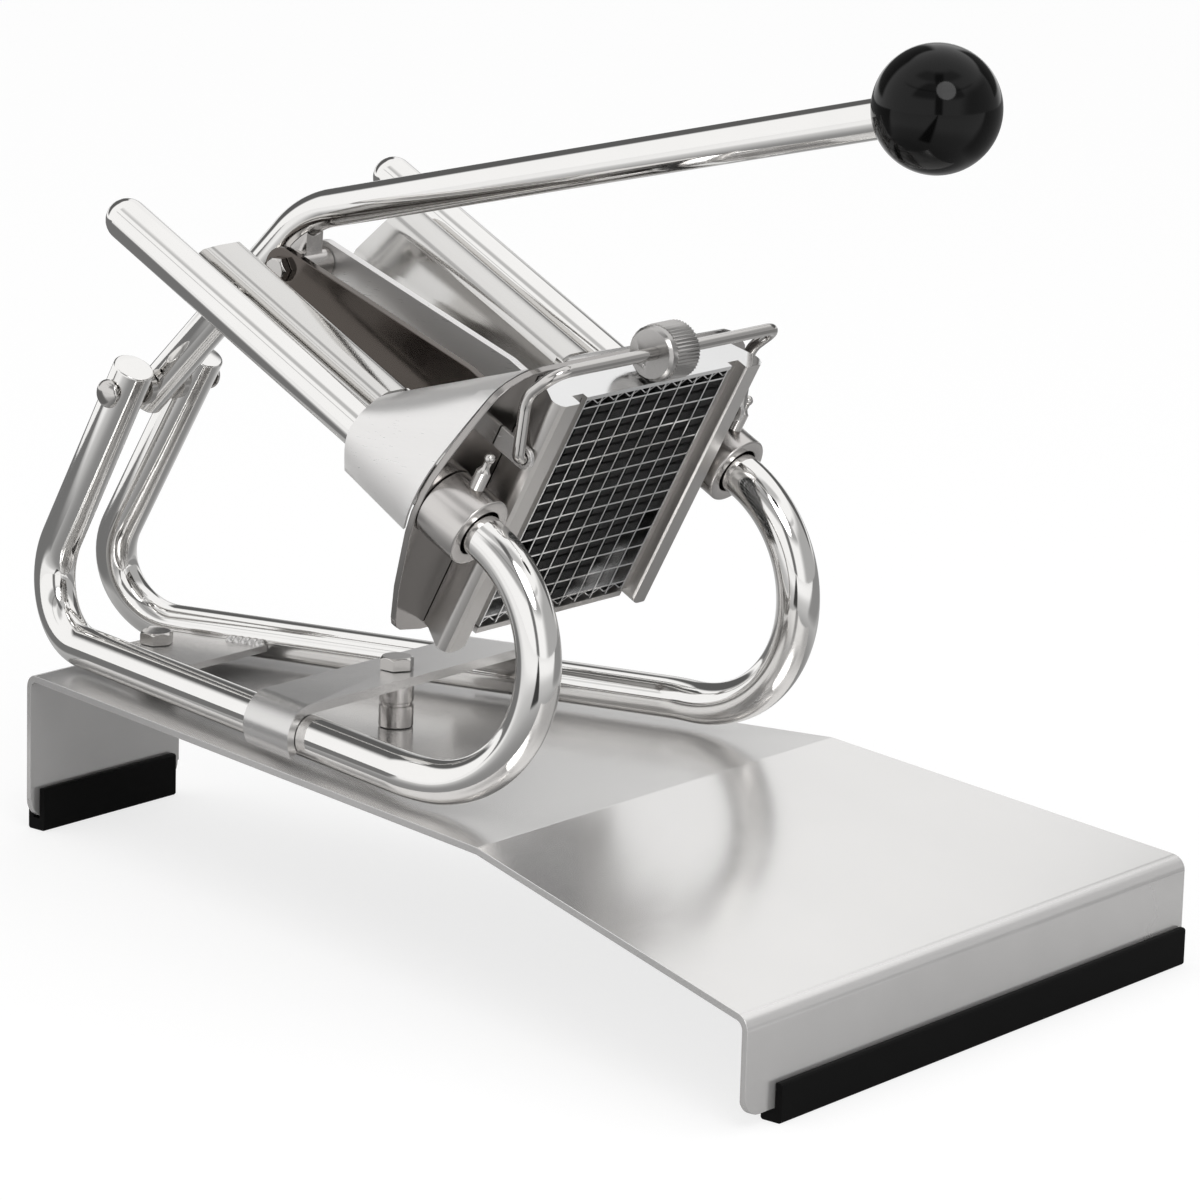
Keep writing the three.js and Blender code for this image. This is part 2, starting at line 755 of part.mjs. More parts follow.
// Chute: a trough of sheet whose side walls fold outward into a rounded band
function chute() {
  const trough = [
    [-chuteHalfWidth, chuteKnee], [-chuteFloorHalfWidth, chuteFloor],
    [chuteFloorHalfWidth, chuteFloor], [chuteHalfWidth, chuteKnee],
  ];
  const whole = [
    [-bandHalfWidth, bandSkirt], [-bandHalfWidth, bandTop], [-chuteHalfWidth, bandTop],
    ...trough,
    [chuteHalfWidth, bandTop], [bandHalfWidth, bandTop], [bandHalfWidth, bandSkirt],
  ];
  const inner = [[-chuteHalfWidth, innerWallTop], ...trough, [chuteHalfWidth, innerWallTop]];
  const rearPart = prismX(sheetOutline(whole, bandRadius, sheet), chuteRear, bandFront);
  const frontPart = prismX(sheetOutline(inner, bandRadius, sheet), bandFront - overrun, chuteFront);
  const reach = bandHalfWidth + overrun;
  const low = chuteFloor - overrun * 2;
  const behind = chuteRear - overrun;
  const rearCut = prismY(
    [[behind, bandTop + overrun], [behind, low], ...[...chuteRearEdge].reverse()],
    -reach,
    reach,
  );
  const hole = prismY(circle(screwRadius + gap, wireSides, screwS, screwN), bandHalfWidth - overrun, reach);
  return cut(join(rearPart, frontPart), rearCut, hole, mirrored(hole)).applyMatrix4(slope);
}

// Chute screws and their spacers, set along Y at the level of the guide axis
function chuteScrew() {
  const tip = guideY - tubeRadius + screwDepth;
  const seat = bandHalfWidth - sheet / 2 - gap;
  const profile = [
    [0, seat - screwHeadHeight],
    [screwHeadRadius - screwHeadHeight / 2, seat - screwHeadHeight],
    [screwHeadRadius, seat - screwHeadHeight / 2],
    [screwHeadRadius, seat],
    [screwRadius, seat],
    [screwRadius, tip],
    [0, tip],
  ];
  return turnedY(profile, roundSides / 2).translate(screwS, 0, screwN).applyMatrix4(slope);
}

function chuteSpacer() {
  const low = bandHalfWidth + sheet / 2 + gap;
  const high = guideY - tubeRadius - gap;
  const bore = screwRadius + gap;
  const profile = [[bore, low], [spacerRadius, low], [spacerRadius, high], [bore, high], [bore, low]];
  return turnedY(profile, roundSides / 2).translate(screwS, 0, screwN).applyMatrix4(slope);
}

// Hood: sheet that rises from the chute wall, folds over and falls outside the guide tube
function hood() {
  const rows = [];
  for (let j = 0; j <= hoodSteps; j += 1) {
    const share = j / hoodSteps;
    const place = ([y, n, s, endY, endN]) => new THREE.Vector3(
      s + (headRear - s) * share,
      y + (endY - y) * share,
      n + (endN - n) * share,
    );
    const curve = new THREE.CatmullRomCurve3(hoodSkin.map(place), false, 'centripetal');
    rows.push([...hoodCheek.map(place), ...curve.getPoints(hoodCurveSteps)]);
  }
  const wide = frontHalfWidth;
  const beyond = box(chuteFront, headFront + overrun, 0, wide, -wide, wide);
  return cut(sheetOverGrid(rows, hoodSheet), beyond).applyMatrix4(slope);
}

// Collars: turned rings on the head plate, each with a set screw on the guide tube
function collar() {
  const low = headFront + gap;
  const high = low + collarLength;
  const bore = tubeRadius + collarBoreGap;
  const ring = turnedY([
    [bore, low], [collarRadius, low], [collarRadius, high - collarChamfer],
    [collarRadius - collarChamfer, high], [bore, high], [bore, low],
  ]);
  ring.rotateZ(-Math.PI / 2);
  ring.translate(0, guideY, 0);
  const screwRim = circle(setScrewRadius + gap, wireSides, setScrewS, guideY);
  const hole = prismZ(screwRim, 0, collarRadius + overrun);
  return cut(ring, hole).applyMatrix4(slope);
}

function setScrew() {
  const tip = tubeRadius + gap;
  const ballCentre = setScrewTop - setScrewBallRadius;
  const ball = Array.from({ length: domeSteps + 1 }, (_, i) => {
    const angle = -Math.PI / 4 + i / domeSteps * Math.PI * 0.75;
    return [setScrewBallRadius * Math.cos(angle), ballCentre + setScrewBallRadius * Math.sin(angle)];
  });
  ball[domeSteps][0] = 0;
  const screw = turnedZ([
    [0, tip],
    [setScrewRadius - wireRadius / 2, tip],
    [setScrewRadius, tip + wireRadius / 2],
    [setScrewRadius, setScrewShoulder],
    [setScrewNeckRadius, setScrewShoulder + setScrewNeckRadius / 2],
    ...ball,
  ], roundSides / 2);
  screw.translate(setScrewS, guideY, 0);
  return screw.applyMatrix4(slope);
}

// Die frame: two folded rails joined by a bar above and a thin bar below the grid
function dieFrame() {
  const rear = headFront + gap;
  const section = [
    [railInner, 0], ...railOuter, [railLipInner + stripEdge, railDepth],
    [railLipInner, railDepth - stripEdge], [railLipInner, railLedge], [railInner, railLedge],
  ];
  const rail = prismZ(section.map(([y, s]) => [rear + s, y]).reverse(), railBottom, dieTop);
  const trim = railBottom + railCornerRadius;
  const corner = Array.from({ length: bendSteps + 1 }, (_, i) => {
    const angle = i / bendSteps * Math.PI / 2;
    return [
      railLipInner + railCornerRadius - railCornerRadius * Math.cos(angle),
      trim - railCornerRadius * Math.sin(angle),
    ];
  });
  const cornerCut = prismX(
    [[railInner - overrun, railBottom - overrun], [corner[bendSteps][0], railBottom - overrun],
      ...corner.reverse(), [railInner - overrun, trim]],
    rear - overrun,
    rear + railDepth + overrun,
  );
  const shapedRail = cut(rail, cornerCut);
  const topBar = box(rear, gridFront + gap, -railInner - gap, railInner + gap, bladeTop + gap, dieTop);
  const barEnd = railInner + gap;
  const bottomBar = box(rear, gridFront + gap, -barEnd, barEnd, dieBottom, bladeBottom - gap);
  return join(shapedRail, mirrored(shapedRail), topBar, bottomBar).applyMatrix4(slope);
}

// Blade grid: thin blades both ways, crossing into one piece
function bladeGrid() {
  const half = bladeThickness / 2;
  const blades = [];
  for (let column = 0; column <= gridColumns; column += 1) {
    const y = -gridHalfWidth + column * gridPitch;
    blades.push(box(gridRear, gridFront, y - half, y + half, bladeBottom, bladeTop));
  }
  for (let row = 0; row <= gridRows; row += 1) {
    const n = gridBottom + row * gridRowPitch;
    blades.push(box(gridRear, gridFront - half, -gridHalfWidth, gridHalfWidth, n - half, n + half));
  }
  return join(...blades).applyMatrix4(slope);
}

// Bail: lugs on the head plate, a bent wire and the eccentric roller that turns on it
function bailLug() {
  const arc = Array.from({ length: loopSteps + 1 }, (_, i) => {
    const angle = Math.PI / 2 - i / loopSteps * Math.PI;
    return [bailPivotS + lugRadius * Math.cos(angle), bailPivotN + lugRadius * Math.sin(angle)];
  });
  const rear = headFront + gap;
  const outline = [[rear, bailPivotN - lugRadius], [rear, bailPivotN + lugRadius], ...arc];
  const hole = circle(wireRadius + gap, roundSides, bailPivotS, bailPivotN);
  const outer = bailLegY - wireRadius - gap;
  return prismY(outline, outer - lugThickness, outer, [hole]).applyMatrix4(slope);
}

function bailWire() {
  const inner = bailLegY - wireRadius - gap * 2 - lugThickness;
  const left = [
    [bailPivotS, inner, bailPivotN],
    [bailPivotS, bailLegY, bailPivotN],
    [bailBendS, bailLegY, bailBendN],
    [bailTopS, bailLegY, bailTopN],
  ];
  const right = left.map(([s, y, n]) => [s, -y, n]).reverse();
  const corners = [...left, ...right].map(([s, y, n]) => new THREE.Vector3(s, y, n));
  const radii = [bailEndRadius, bailBendRadius, bailTopRadius];
  const path = bentPath(corners, [...radii, ...radii.reverse()], bendSteps);
  return roundRod(path, wireRadius, wireSides).applyMatrix4(slope);
}

function latchRoller() {
  const toothed = Array.from({ length: rollerTeeth * 2 }, (_, i) => {
    const angle = i / rollerTeeth * Math.PI;
    const radius = rollerRadius - (i % 2) * rollerToothDepth;
    return [rollerS + radius * Math.cos(angle), rollerN + radius * Math.sin(angle)];
  });
  const knurl = prismY(toothed, rollerRight + rollerPlainEnd, rollerLeft);
  const plainRadius = rollerRadius - rollerToothDepth;
  const plain = turnedY([
    [0, rollerRight],
    [plainRadius - rollerChamfer, rollerRight],
    [plainRadius, rollerRight + rollerChamfer],
    [plainRadius, rollerRight + rollerPlainEnd + overrun],
    [0, rollerRight + rollerPlainEnd + overrun],
  ]);
  plain.translate(rollerS, 0, rollerN);
  const bore = prismY(
    circle(wireRadius + runningGap, roundSides, bailTopS, bailTopN),
    rollerRight - overrun,
    rollerLeft + overrun,
  );
  const dot = turnedY([
    [0, rollerRight - overrun],
    [rollerCentreDot, rollerRight - overrun],
    [rollerCentreDot, rollerRight],
    [0, rollerRight + rollerCentreDepth],
  ], wireSides);
  dot.translate(rollerS, 0, rollerN - rollerRadius / 2);
  return cut(join(knurl, plain), bore, dot).applyMatrix4(slope);
}

// Lever: a bent tube on the pivot pin, with a boss below its bend and a ball on its end
function leverPath() {
  const pivot = new THREE.Vector3(pivotX, 0, pivotZ);
  const bend = new THREE.Vector3(leverBendX, 0, leverBendZ);
  const lower = bend.clone().sub(pivot).normalize();
  const start = pivot.clone().addScaledVector(lower, -leverTail);
  const upper = new THREE.Vector3(Math.cos(handleAngle), 0, Math.sin(handleAngle));
  const end = bend.clone().addScaledVector(upper, handleLength);
  return bentPath([start, bend, end], [leverBendRadius], bendSteps);
}

function leverTube() {
  const hole = prismY(
    circle(pinRadius + runningGap, roundSides, pivotX, pivotZ),
    -leverRadius - overrun,
    leverRadius + overrun,
  );
  return cut(roundRod(leverPath(), leverRadius, tubeSides), hole);
}

function leverWasher() {
  const low = leverRadius + gap;
  const high = pivotY - tubeRadius - gap * 2;
  const bore = pinRadius + runningGap;
  const profile = [[bore, low], [washerRadius, low], [washerRadius, high], [bore, high], [bore, low]];
  return turnedY(profile).translate(pivotX, 0, pivotZ);
}

function pivotPin() {
  const seat = pivotY + tubeRadius + gap * 2;
  const dome = Array.from({ length: domeSteps + 1 }, (_, i) => {
    const angle = i / domeSteps * Math.PI / 2;
    return [pinHeadRadius * Math.cos(angle), seat + pinHeadHeight * Math.sin(angle)];
  });
  dome[domeSteps][0] = 0;
  const half = [[pinRadius, seat], ...dome];
  const other = half.map(([radius, y]) => [radius, -y]).reverse();
  return turnedY([...other, ...half]).translate(pivotX, 0, pivotZ);
}

function leverBoss() {
  const rim = circle(bossRadius, roundSides, linkPivotX, linkPivotZ);
  const barrel = prismY(rim, -bossHalfWidth, bossHalfWidth);
  const toBend = new THREE.Vector3(leverBendX - linkPivotX, 0, leverBendZ - linkPivotZ).normalize();
  const aside = new THREE.Vector3(toBend.z, 0, -toBend.x).multiplyScalar(bossNeckWidth / 2);
  const top = leverBendZ - linkPivotZ;
  const corners = [[-1, 0], [1, 0], [1, top], [-1, top]].map(([side, along]) => [
    linkPivotX + aside.x * side + toBend.x * along,
    linkPivotZ + aside.z * side + toBend.z * along,
  ]);
  const neck = prismY(corners, -bossNeckHalfThickness, bossNeckHalfThickness);
  const sleeve = roundRod(leverPath(), leverRadius + gap, tubeSides);
  const bore = prismY(
    circle(linkBoltRadius + runningGap, roundSides, linkPivotX, linkPivotZ),
    -bossHalfWidth - overrun,
    bossHalfWidth + overrun,
  );
  return cut(join(barrel, neck), sleeve, bore);
}

function knob() {
  const direction = new THREE.Vector3(Math.cos(handleAngle), 0, Math.sin(handleAngle));
  const leverBend = new THREE.Vector3(leverBendX, 0, leverBendZ);
  const centre = leverBend.addScaledVector(direction, handleLength + knobSocket);
  const mouth = -Math.sqrt(knobRadius * knobRadius - knobMouthRadius * knobMouthRadius);
  const bottom = gap - knobSocket;
  const bore = leverRadius + gap;
  const start = Math.asin(mouth / knobRadius);
  const skin = Array.from({ length: ballSteps + 1 }, (_, i) => {
    const angle = start + i / ballSteps * (Math.PI / 2 - start);
    return [knobRadius * Math.cos(angle), knobRadius * Math.sin(angle)];
  });
  skin[ballSteps][0] = 0;
  const ball = turnedY([[0, bottom], [bore, bottom], [bore, mouth], ...skin]);
  ball.rotateZ(-Math.PI / 2);
  ball.rotateY(-handleAngle);
  return ball.translate(centre.x, 0, centre.z);
}

// Links: two flat bars from the boss to the pusher, wider towards the pusher
function linkBar() {
  const rear = Array.from({ length: loopSteps + 1 }, (_, i) => {
    const angle = Math.PI / 2 + i / loopSteps * Math.PI;
    return [linkPivot.x + linkRearRadius * Math.cos(angle), linkPivot.z + linkRearRadius * Math.sin(angle)];
  });
  const nose = Array.from({ length: loopSteps + 1 }, (_, i) => {
    const angle = -Math.PI / 2 + i / loopSteps * Math.PI;
    return [crossPinS + linkNoseRadius * Math.cos(angle), crossPinN + linkNoseRadius * Math.sin(angle)];
  });
  const wide = crossPinS - linkWideSetback;
  const outline = [
    ...rear,
    [wide, linkPivot.z - linkBottomDrop],
    ...nose,
    [wide, linkPivot.z + linkTopRise],
  ];
  const holes = [
    circle(linkBoltRadius + gap, roundSides, linkPivot.x, linkPivot.z),
    circle(crossPinRadius + gap, roundSides, crossPinS, crossPinN),
  ];
  return prismY(outline, linkInner, linkInner + linkThickness, holes).applyMatrix4(slope);
}

function linkBolt() {
  const seat = linkInner + linkThickness + gap;
  const tail = seat + nutHeight;
  const bolt = hexBolt(linkHeadFlats, linkHeadHeight, linkBoltRadius, seat + tail);
  bolt.rotateX(Math.PI / 2);
  return bolt.translate(linkPivotX, -seat, linkPivotZ);
}

function linkNut() {
  const seat = linkInner + linkThickness + gap;
  const nut = hexNut(linkHeadFlats, linkHeadHeight, linkBoltRadius + gap);
  nut.rotateX(-Math.PI / 2);
  return nut.translate(linkPivotX, seat, linkPivotZ);
}

function linkCrossPin() {
  const seat = linkInner + linkThickness + gap;
  const out = seat + crossPinHeadHeight;
  const half = [[crossPinRadius, seat], [crossPinHeadRadius, seat], [crossPinHeadRadius, out], [0, out]];
  const other = half.map(([radius, y]) => [radius, -y]).reverse();
  return turnedY([...other, ...half]).translate(crossPinS, 0, crossPinN).applyMatrix4(slope);
}

// Pusher: a toothed block that fits the grid's cells, and the bracket behind it
function pusherBlock() {
  const half = [
    [pusherHalfWidth, pusherTop],
    [pusherHalfWidth, pusherKnee],
    [pusherBottomHalfWidth, pusherBottom],
  ];
  const other = half.map(([y, n]) => [-y, n]).reverse();
  const plate = prismX([...other, ...half], pusherRear, pusherFront);
  const rise = (pusherKnee - pusherBottom) / (pusherHalfWidth - pusherBottomHalfWidth);
  const pegWidth = gridPitch - bladeThickness - pegGap * 2;
  const pegHeight = gridRowPitch - bladeThickness - pegGap * 2;
  const pegs = [];
  for (let column = 0; column < gridColumns; column += 1) {
    for (let row = 0; row < gridRows; row += 1) {
      const y = -gridHalfWidth + (column + 0.5) * gridPitch;
      const n = gridBottom + (row + 0.5) * gridRowPitch;
      const corner = Math.max(Math.abs(y) + pegWidth / 2 - pusherBottomHalfWidth, 0);
      if (n - pegHeight / 2 < pusherBottom + corner * rise) {
        continue;
      }
      const peg = new THREE.CylinderGeometry(
        (pegWidth - pegTaper) * Math.SQRT1_2,
        pegWidth * Math.SQRT1_2,
        pegTip - pusherFront + overrun,
        4,
      );
      peg.rotateY(Math.PI / 4);
      peg.rotateZ(-Math.PI / 2);
      peg.scale(1, 1, pegHeight / pegWidth);
      peg.translate((pegTip + pusherFront - overrun) / 2, y, n);
      pegs.push(peg);
    }
  }
  return join(plate, ...pegs).applyMatrix4(slope);
}

function pusherBracket() {
  const rear = pusherRear - gap;
  const centreN = crossPinN + bracketCentre;
  const flange = box(
    rear - bracketFlangeThickness, rear,
    -bracketFlangeHalfWidth, bracketFlangeHalfWidth,
    centreN - bracketFlangeHalfHeight, centreN + bracketFlangeHalfHeight,
  );
  const block = prismY(
    [
      [crossPinS - bracketReach, centreN - bracketHalfHeight],
      [rear - overrun, centreN - bracketHalfHeight],
      [rear - overrun, centreN + bracketHalfHeight],
      [crossPinS - bracketReach, centreN + bracketHalfHeight],
    ],
    -bracketHalfWidth,
    bracketHalfWidth,
  );
  const straight = slotHalfLength - slotHalfWidth;
  const slotEnd = (direction) => Array.from({ length: loopSteps + 1 }, (_, i) => {
    const angle = (i / loopSteps) * Math.PI + (direction > 0 ? 0 : Math.PI);
    return [
      crossPinS + slotShift + slotHalfWidth * Math.cos(angle),
      centreN + direction * straight + slotHalfWidth * Math.sin(angle),
    ];
  });
  const slotSide = bracketHalfWidth + overrun;
  const slot = prismY([...slotEnd(1), ...slotEnd(-1)], -slotSide, slotSide);
  return cut(join(flange, block), slot).applyMatrix4(slope);
}

// The assembly
const group = new THREE.Group();
group.name = 'french_fry_cutter';

function add(name, geometry, colour, roughness, metalness) {
  const material = new THREE.MeshStandardMaterial({ color: colour, roughness, metalness });
  material.name = `${name}_material`;
  const mesh = new THREE.Mesh(geometry, material);
  mesh.name = name;
  group.add(mesh);
}

function addPair(name, geometry, colour, roughness, metalness) {
  add(`${name}_left`, geometry, colour, roughness, metalness);
  add(`${name}_right`, mirrored(geometry), colour, roughness, metalness);
}

const satinSteel = 0xb9b9b7;
const polishedSteel = 0xd4d4d3;
const darkSteel = 0x8d8d8c;
const blackRubber = 0x1b1b1b;
const blackPlastic = 0x0c0c0c;
const bladeSteel = 0xc9c9c8;

add('base_plate', basePlate(), satinSteel, 0.42, 1);
const frontFlange = [plateLength, plateLength - plateThickness];
add('front_foot_strip', footStrip(
  ...frontFlange,
  frontStripHeight,
  -frontHalfWidth + frontStripRightInset,
  frontHalfWidth - frontStripLeftInset,
), blackRubber, 0.8, 0);
add('rear_foot_strip', footStrip(
  0,
  plateThickness,
  rearStripHeight,
  -rearHalfWidth + rearStripInset,
  rearHalfWidth - rearStripInset,
), blackRubber, 0.8, 0);

addPair('side_tube', sideTube(), polishedSteel, 0.12, 1);
add('front_crossbar', frontCrossbar(), satinSteel, 0.36, 1);
const frontShank = crossbarTop - plateTop + plateThickness + nutHeight + boltTail;
const frontBolt = hexBolt(boltHeadFlats, boltHeadHeight, boltRadius, frontShank);
add('front_bolt', frontBolt.translate(frontBoltX, 0, crossbarTop + gap), polishedSteel, 0.25, 1);
add('front_standoff', standoff().translate(frontBoltX, 0, 0), polishedSteel, 0.2, 1);
const nutPlace = plateTop - plateThickness - gap - nutHeight;
const frontNut = hexNut(boltHeadFlats, nutHeight, boltRadius + gap);
add('front_nut', frontNut.translate(frontBoltX, 0, nutPlace), polishedSteel, 0.3, 1);

add('rear_cross_plate', rearCrossPlate(), satinSteel, 0.3, 1);
const rearShank = crossPlateTop - plateTop + plateThickness + nutHeight + boltTail;
const rearBolt = hexBolt(boltHeadFlats, boltHeadHeight, boltRadius, rearShank);
add('rear_bolt', rearBolt.translate(rearBoltX, 0, crossPlateTop + gap), polishedSteel, 0.25, 1);
add('rear_spacer', rearSpacer().translate(rearBoltX, 0, 0), polishedSteel, 0.2, 1);
const rearNut = hexNut(boltHeadFlats, nutHeight, boltRadius + gap);
add('rear_nut', rearNut.translate(rearBoltX, 0, nutPlace), polishedSteel, 0.3, 1);

add('head_plate', headPlate(), darkSteel, 0.14, 1);
addPair('hood', hood(), satinSteel, 0.3, 1);
addPair('collar', collar(), satinSteel, 0.3, 1);
addPair('set_screw', setScrew(), polishedSteel, 0.3, 1);
add('chute', chute(), polishedSteel, 0.16, 1);
addPair('chute_screw', chuteScrew(), polishedSteel, 0.3, 1);
addPair('chute_spacer', chuteSpacer(), satinSteel, 0.3, 1);
add('die_frame', dieFrame(), darkSteel, 0.3, 1);
add('blade_grid', bladeGrid(), bladeSteel, 0.22, 1);

addPair('bail_lug', bailLug(), satinSteel, 0.3, 1);
add('bail_wire', bailWire(), darkSteel, 0.28, 1);
add('latch_roller', latchRoller(), satinSteel, 0.34, 1);

add('pivot_pin', pivotPin(), polishedSteel, 0.25, 1);
add('lever_tube', leverTube(), polishedSteel, 0.12, 1);
addPair('lever_washer', leverWasher(), satinSteel, 0.3, 1);
add('lever_boss', leverBoss(), satinSteel, 0.3, 1);
add('knob', knob(), blackPlastic, 0.06, 0);

addPair('link', linkBar(), darkSteel, 0.14, 1);
add('link_bolt', linkBolt(), polishedSteel, 0.25, 1);
add('link_nut', linkNut(), polishedSteel, 0.3, 1);
add('link_cross_pin', linkCrossPin(), polishedSteel, 0.25, 1);
add('pusher_block', pusherBlock(), blackPlastic, 0.45, 0);
add('pusher_bracket', pusherBracket(), satinSteel, 0.35, 1);

// The origin goes to the middle of the footprint, at the ground
const bounds = new THREE.Box3().setFromObject(group);
const middle = bounds.getCenter(new THREE.Vector3());
group.children.forEach((mesh) => {
  mesh.geometry.translate(-middle.x, -middle.y, -bounds.min.z);
  mesh.geometry.computeVertexNormals();
});

export default group;
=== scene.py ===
# %% [markdown]
# # A french fry cutter in steel
# The cutter is nearly all stainless steel, in three finishes: a satin base plate, mirror
# polished tubes and bright sheet. Steel has no colour of its own to show, so the lesson is
# as much about what it reflects as about its shape. We start from the frame, which holds
# every piece at its real size, in metres, with +X to the front and +Z up.

# %% The frame
import json
import math

import bmesh
import bpy
from mathutils import Matrix, Vector


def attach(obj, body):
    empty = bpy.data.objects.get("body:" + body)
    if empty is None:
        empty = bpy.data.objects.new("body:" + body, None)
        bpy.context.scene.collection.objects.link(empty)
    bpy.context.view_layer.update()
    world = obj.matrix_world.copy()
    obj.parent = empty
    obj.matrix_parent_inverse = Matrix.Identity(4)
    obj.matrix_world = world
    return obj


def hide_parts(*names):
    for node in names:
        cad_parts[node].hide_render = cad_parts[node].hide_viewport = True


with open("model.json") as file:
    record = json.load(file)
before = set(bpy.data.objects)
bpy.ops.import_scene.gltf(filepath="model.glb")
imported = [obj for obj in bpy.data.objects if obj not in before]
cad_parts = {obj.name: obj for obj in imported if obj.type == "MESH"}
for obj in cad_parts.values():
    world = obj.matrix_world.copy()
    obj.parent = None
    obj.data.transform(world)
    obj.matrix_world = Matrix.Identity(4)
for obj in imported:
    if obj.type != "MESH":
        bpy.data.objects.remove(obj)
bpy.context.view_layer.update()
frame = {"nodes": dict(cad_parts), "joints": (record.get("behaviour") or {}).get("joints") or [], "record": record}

MM = 0.001
joints = {joint["name"]: joint for joint in frame["joints"]}
body_of_node = {
    node: body
    for body, nodes in frame["record"]["behaviour"]["bodies"].items()
    for node in nodes
}

# %% [markdown]
# ## The camera
# The photograph was taken from the front right, a little above the table, with a long
# lens: parallel edges stay nearly parallel. The camera's axes are written out from its
# azimuth, its elevation and a small roll, so that the frame leans as the photograph does.

# %% The camera
CAMERA_PLACE = Vector((1363.5, -1638.6, 650.8)) * MM
CAMERA_AZIMUTH = math.radians(38.69)
CAMERA_ELEVATION = math.radians(13.58)
CAMERA_ROLL = math.radians(1.6)
LENS = 160.8
SENSOR = 36.0

forward = Vector((
    -math.sin(CAMERA_AZIMUTH) * math.cos(CAMERA_ELEVATION),
    math.cos(CAMERA_AZIMUTH) * math.cos(CAMERA_ELEVATION),
    -math.sin(CAMERA_ELEVATION),
))
level_right = Vector((math.cos(CAMERA_AZIMUTH), math.sin(CAMERA_AZIMUTH), 0.0))
level_up = level_right.cross(forward)
camera_right = level_right * math.cos(CAMERA_ROLL) + level_up * math.sin(CAMERA_ROLL)
camera_up = level_up * math.cos(CAMERA_ROLL) - level_right * math.sin(CAMERA_ROLL)

camera_data = bpy.data.cameras.new("camera")
camera_data.lens = LENS
camera_data.sensor_width = SENSOR
camera_data.clip_end = 20.0
camera = bpy.data.objects.new("camera", camera_data)
axes = Matrix((camera_right, camera_up, -forward)).transposed()
camera.matrix_world = Matrix.Translation(CAMERA_PLACE) @ axes.to_4x4()
bpy.context.scene.collection.objects.link(camera)
bpy.context.scene.camera = camera
bpy.context.scene.view_settings.view_transform = "Standard"
print("camera looks from", [round(value, 3) for value in CAMERA_PLACE])

# %% [markdown]
# ## Shader maths as Python
# A finish is a small calculation: noise, scaled and added to a base value. One class wraps
# a socket so that plus, minus and times add the nodes, and another holds a material.


# %% A socket that can be added and multiplied
class Signal:
    def __init__(self, tree, socket):
        self.tree = tree
        self.socket = socket

    def combine(self, operation, *others):
        return self.tree.node("ShaderNodeMath", {"operation": operation}, self, *others)

    def __add__(self, other):
        return self.combine("ADD", other)

    def __sub__(self, other):
        return self.combine("SUBTRACT", other)

    def __rsub__(self, other):
        return self.tree.node("ShaderNodeMath", {"operation": "SUBTRACT"}, other, self)

    def __mul__(self, other):
        return self.combine("MULTIPLY", other)

    def larger(self, other):
        return self.combine("MAXIMUM", other)

    def absolute(self):
        return self.combine("ABSOLUTE")

    def between(self, low, high):
        """0 below low, 1 above high and a soft step from one to the other."""
        settings = {"interpolation_type": "SMOOTHSTEP"}
        return self.tree.node("ShaderNodeMapRange", settings, self, low, high)

    def until(self, low, high):
        """1 below low, 0 above high and a soft step from one to the other."""
        return 1 - self.between(low, high)


# %% A tree of nodes, and a material with its own
class Tree:
    def __init__(self, nodes):
        self.nodes = nodes

    def node(self, kind, settings=None, *values, output=0, **named):
        """Adds a node, sets it, and fills its sockets in order or by name."""
        made = self.nodes.nodes.new(kind)
        for key, value in (settings or {}).items():
            setattr(made, key, value)
        sockets = list(zip(made.inputs, values))
        sockets += [(made.inputs[key.replace("_", " ")], value) for key, value in named.items()]
        for socket, value in sockets:
            self.fill(socket, value)
        return Signal(self, made.outputs[output])

    def fill(self, socket, value):
        if isinstance(value, Signal):
            self.nodes.links.new(value.socket, socket)
        else:
            socket.default_value = value

    def axes(self, source):
        """The X, Y and Z of what a texture coordinate node gives."""
        vector = self.node("ShaderNodeTexCoord", None, output=source)
        split = self.node("ShaderNodeSeparateXYZ", None, vector)
        return [Signal(self, socket) for socket in split.socket.node.outputs]

    def grain(self, size, stretch=(1.0, 1.0, 1.0), detail=3.0):
        """Noise from -0.5 to 0.5 whose spots are as wide as size, drawn out by stretch."""
        place = self.node("ShaderNodeTexCoord", None, output="Object")
        scale = tuple(1.0 / (size * axis) for axis in stretch)
        mapped = self.node("ShaderNodeMapping", None, Vector=place, Scale=scale)
        return self.node("ShaderNodeTexNoise", None, Vector=mapped, Scale=1.0, Detail=detail) - 0.5


class Finish(Tree):
    def __init__(self, name, **constants):
        self.material = bpy.data.materials.new(name)
        self.material.use_nodes = True
        super().__init__(self.material.node_tree)
        self.shader = self.nodes.nodes["Principled BSDF"]
        for key, value in constants.items():
            self.shader.inputs[key.replace("_", " ")].default_value = value

    def feed(self, name, signal):
        self.fill(self.shader.inputs[name], signal)

    def shade(self, dark, light, share):
        """Base colour between two greys or colours."""
        mixed = self.node("ShaderNodeMix", {"data_type": "RGBA"}, output=2)
        node = mixed.socket.node
        self.fill(node.inputs[0], share)
        self.fill(node.inputs[6], (*dark, 1.0))
        self.fill(node.inputs[7], (*light, 1.0))
        self.feed("Base Color", mixed)

    def relief(self, height, depth):
        bump = self.node("ShaderNodeBump", None, Strength=1.0, Distance=depth, Height=height)
        self.feed("Normal", bump)


# %% [markdown]
# ## Finishes
# Satin sheet is brushed in one direction, so its noise is drawn out into fine lines. A
# polished tube keeps a faint orange-peel and a few fine rubbing marks. The same steel goes
# into both: what differs is its roughness, its relief and how deep a tone it shows.


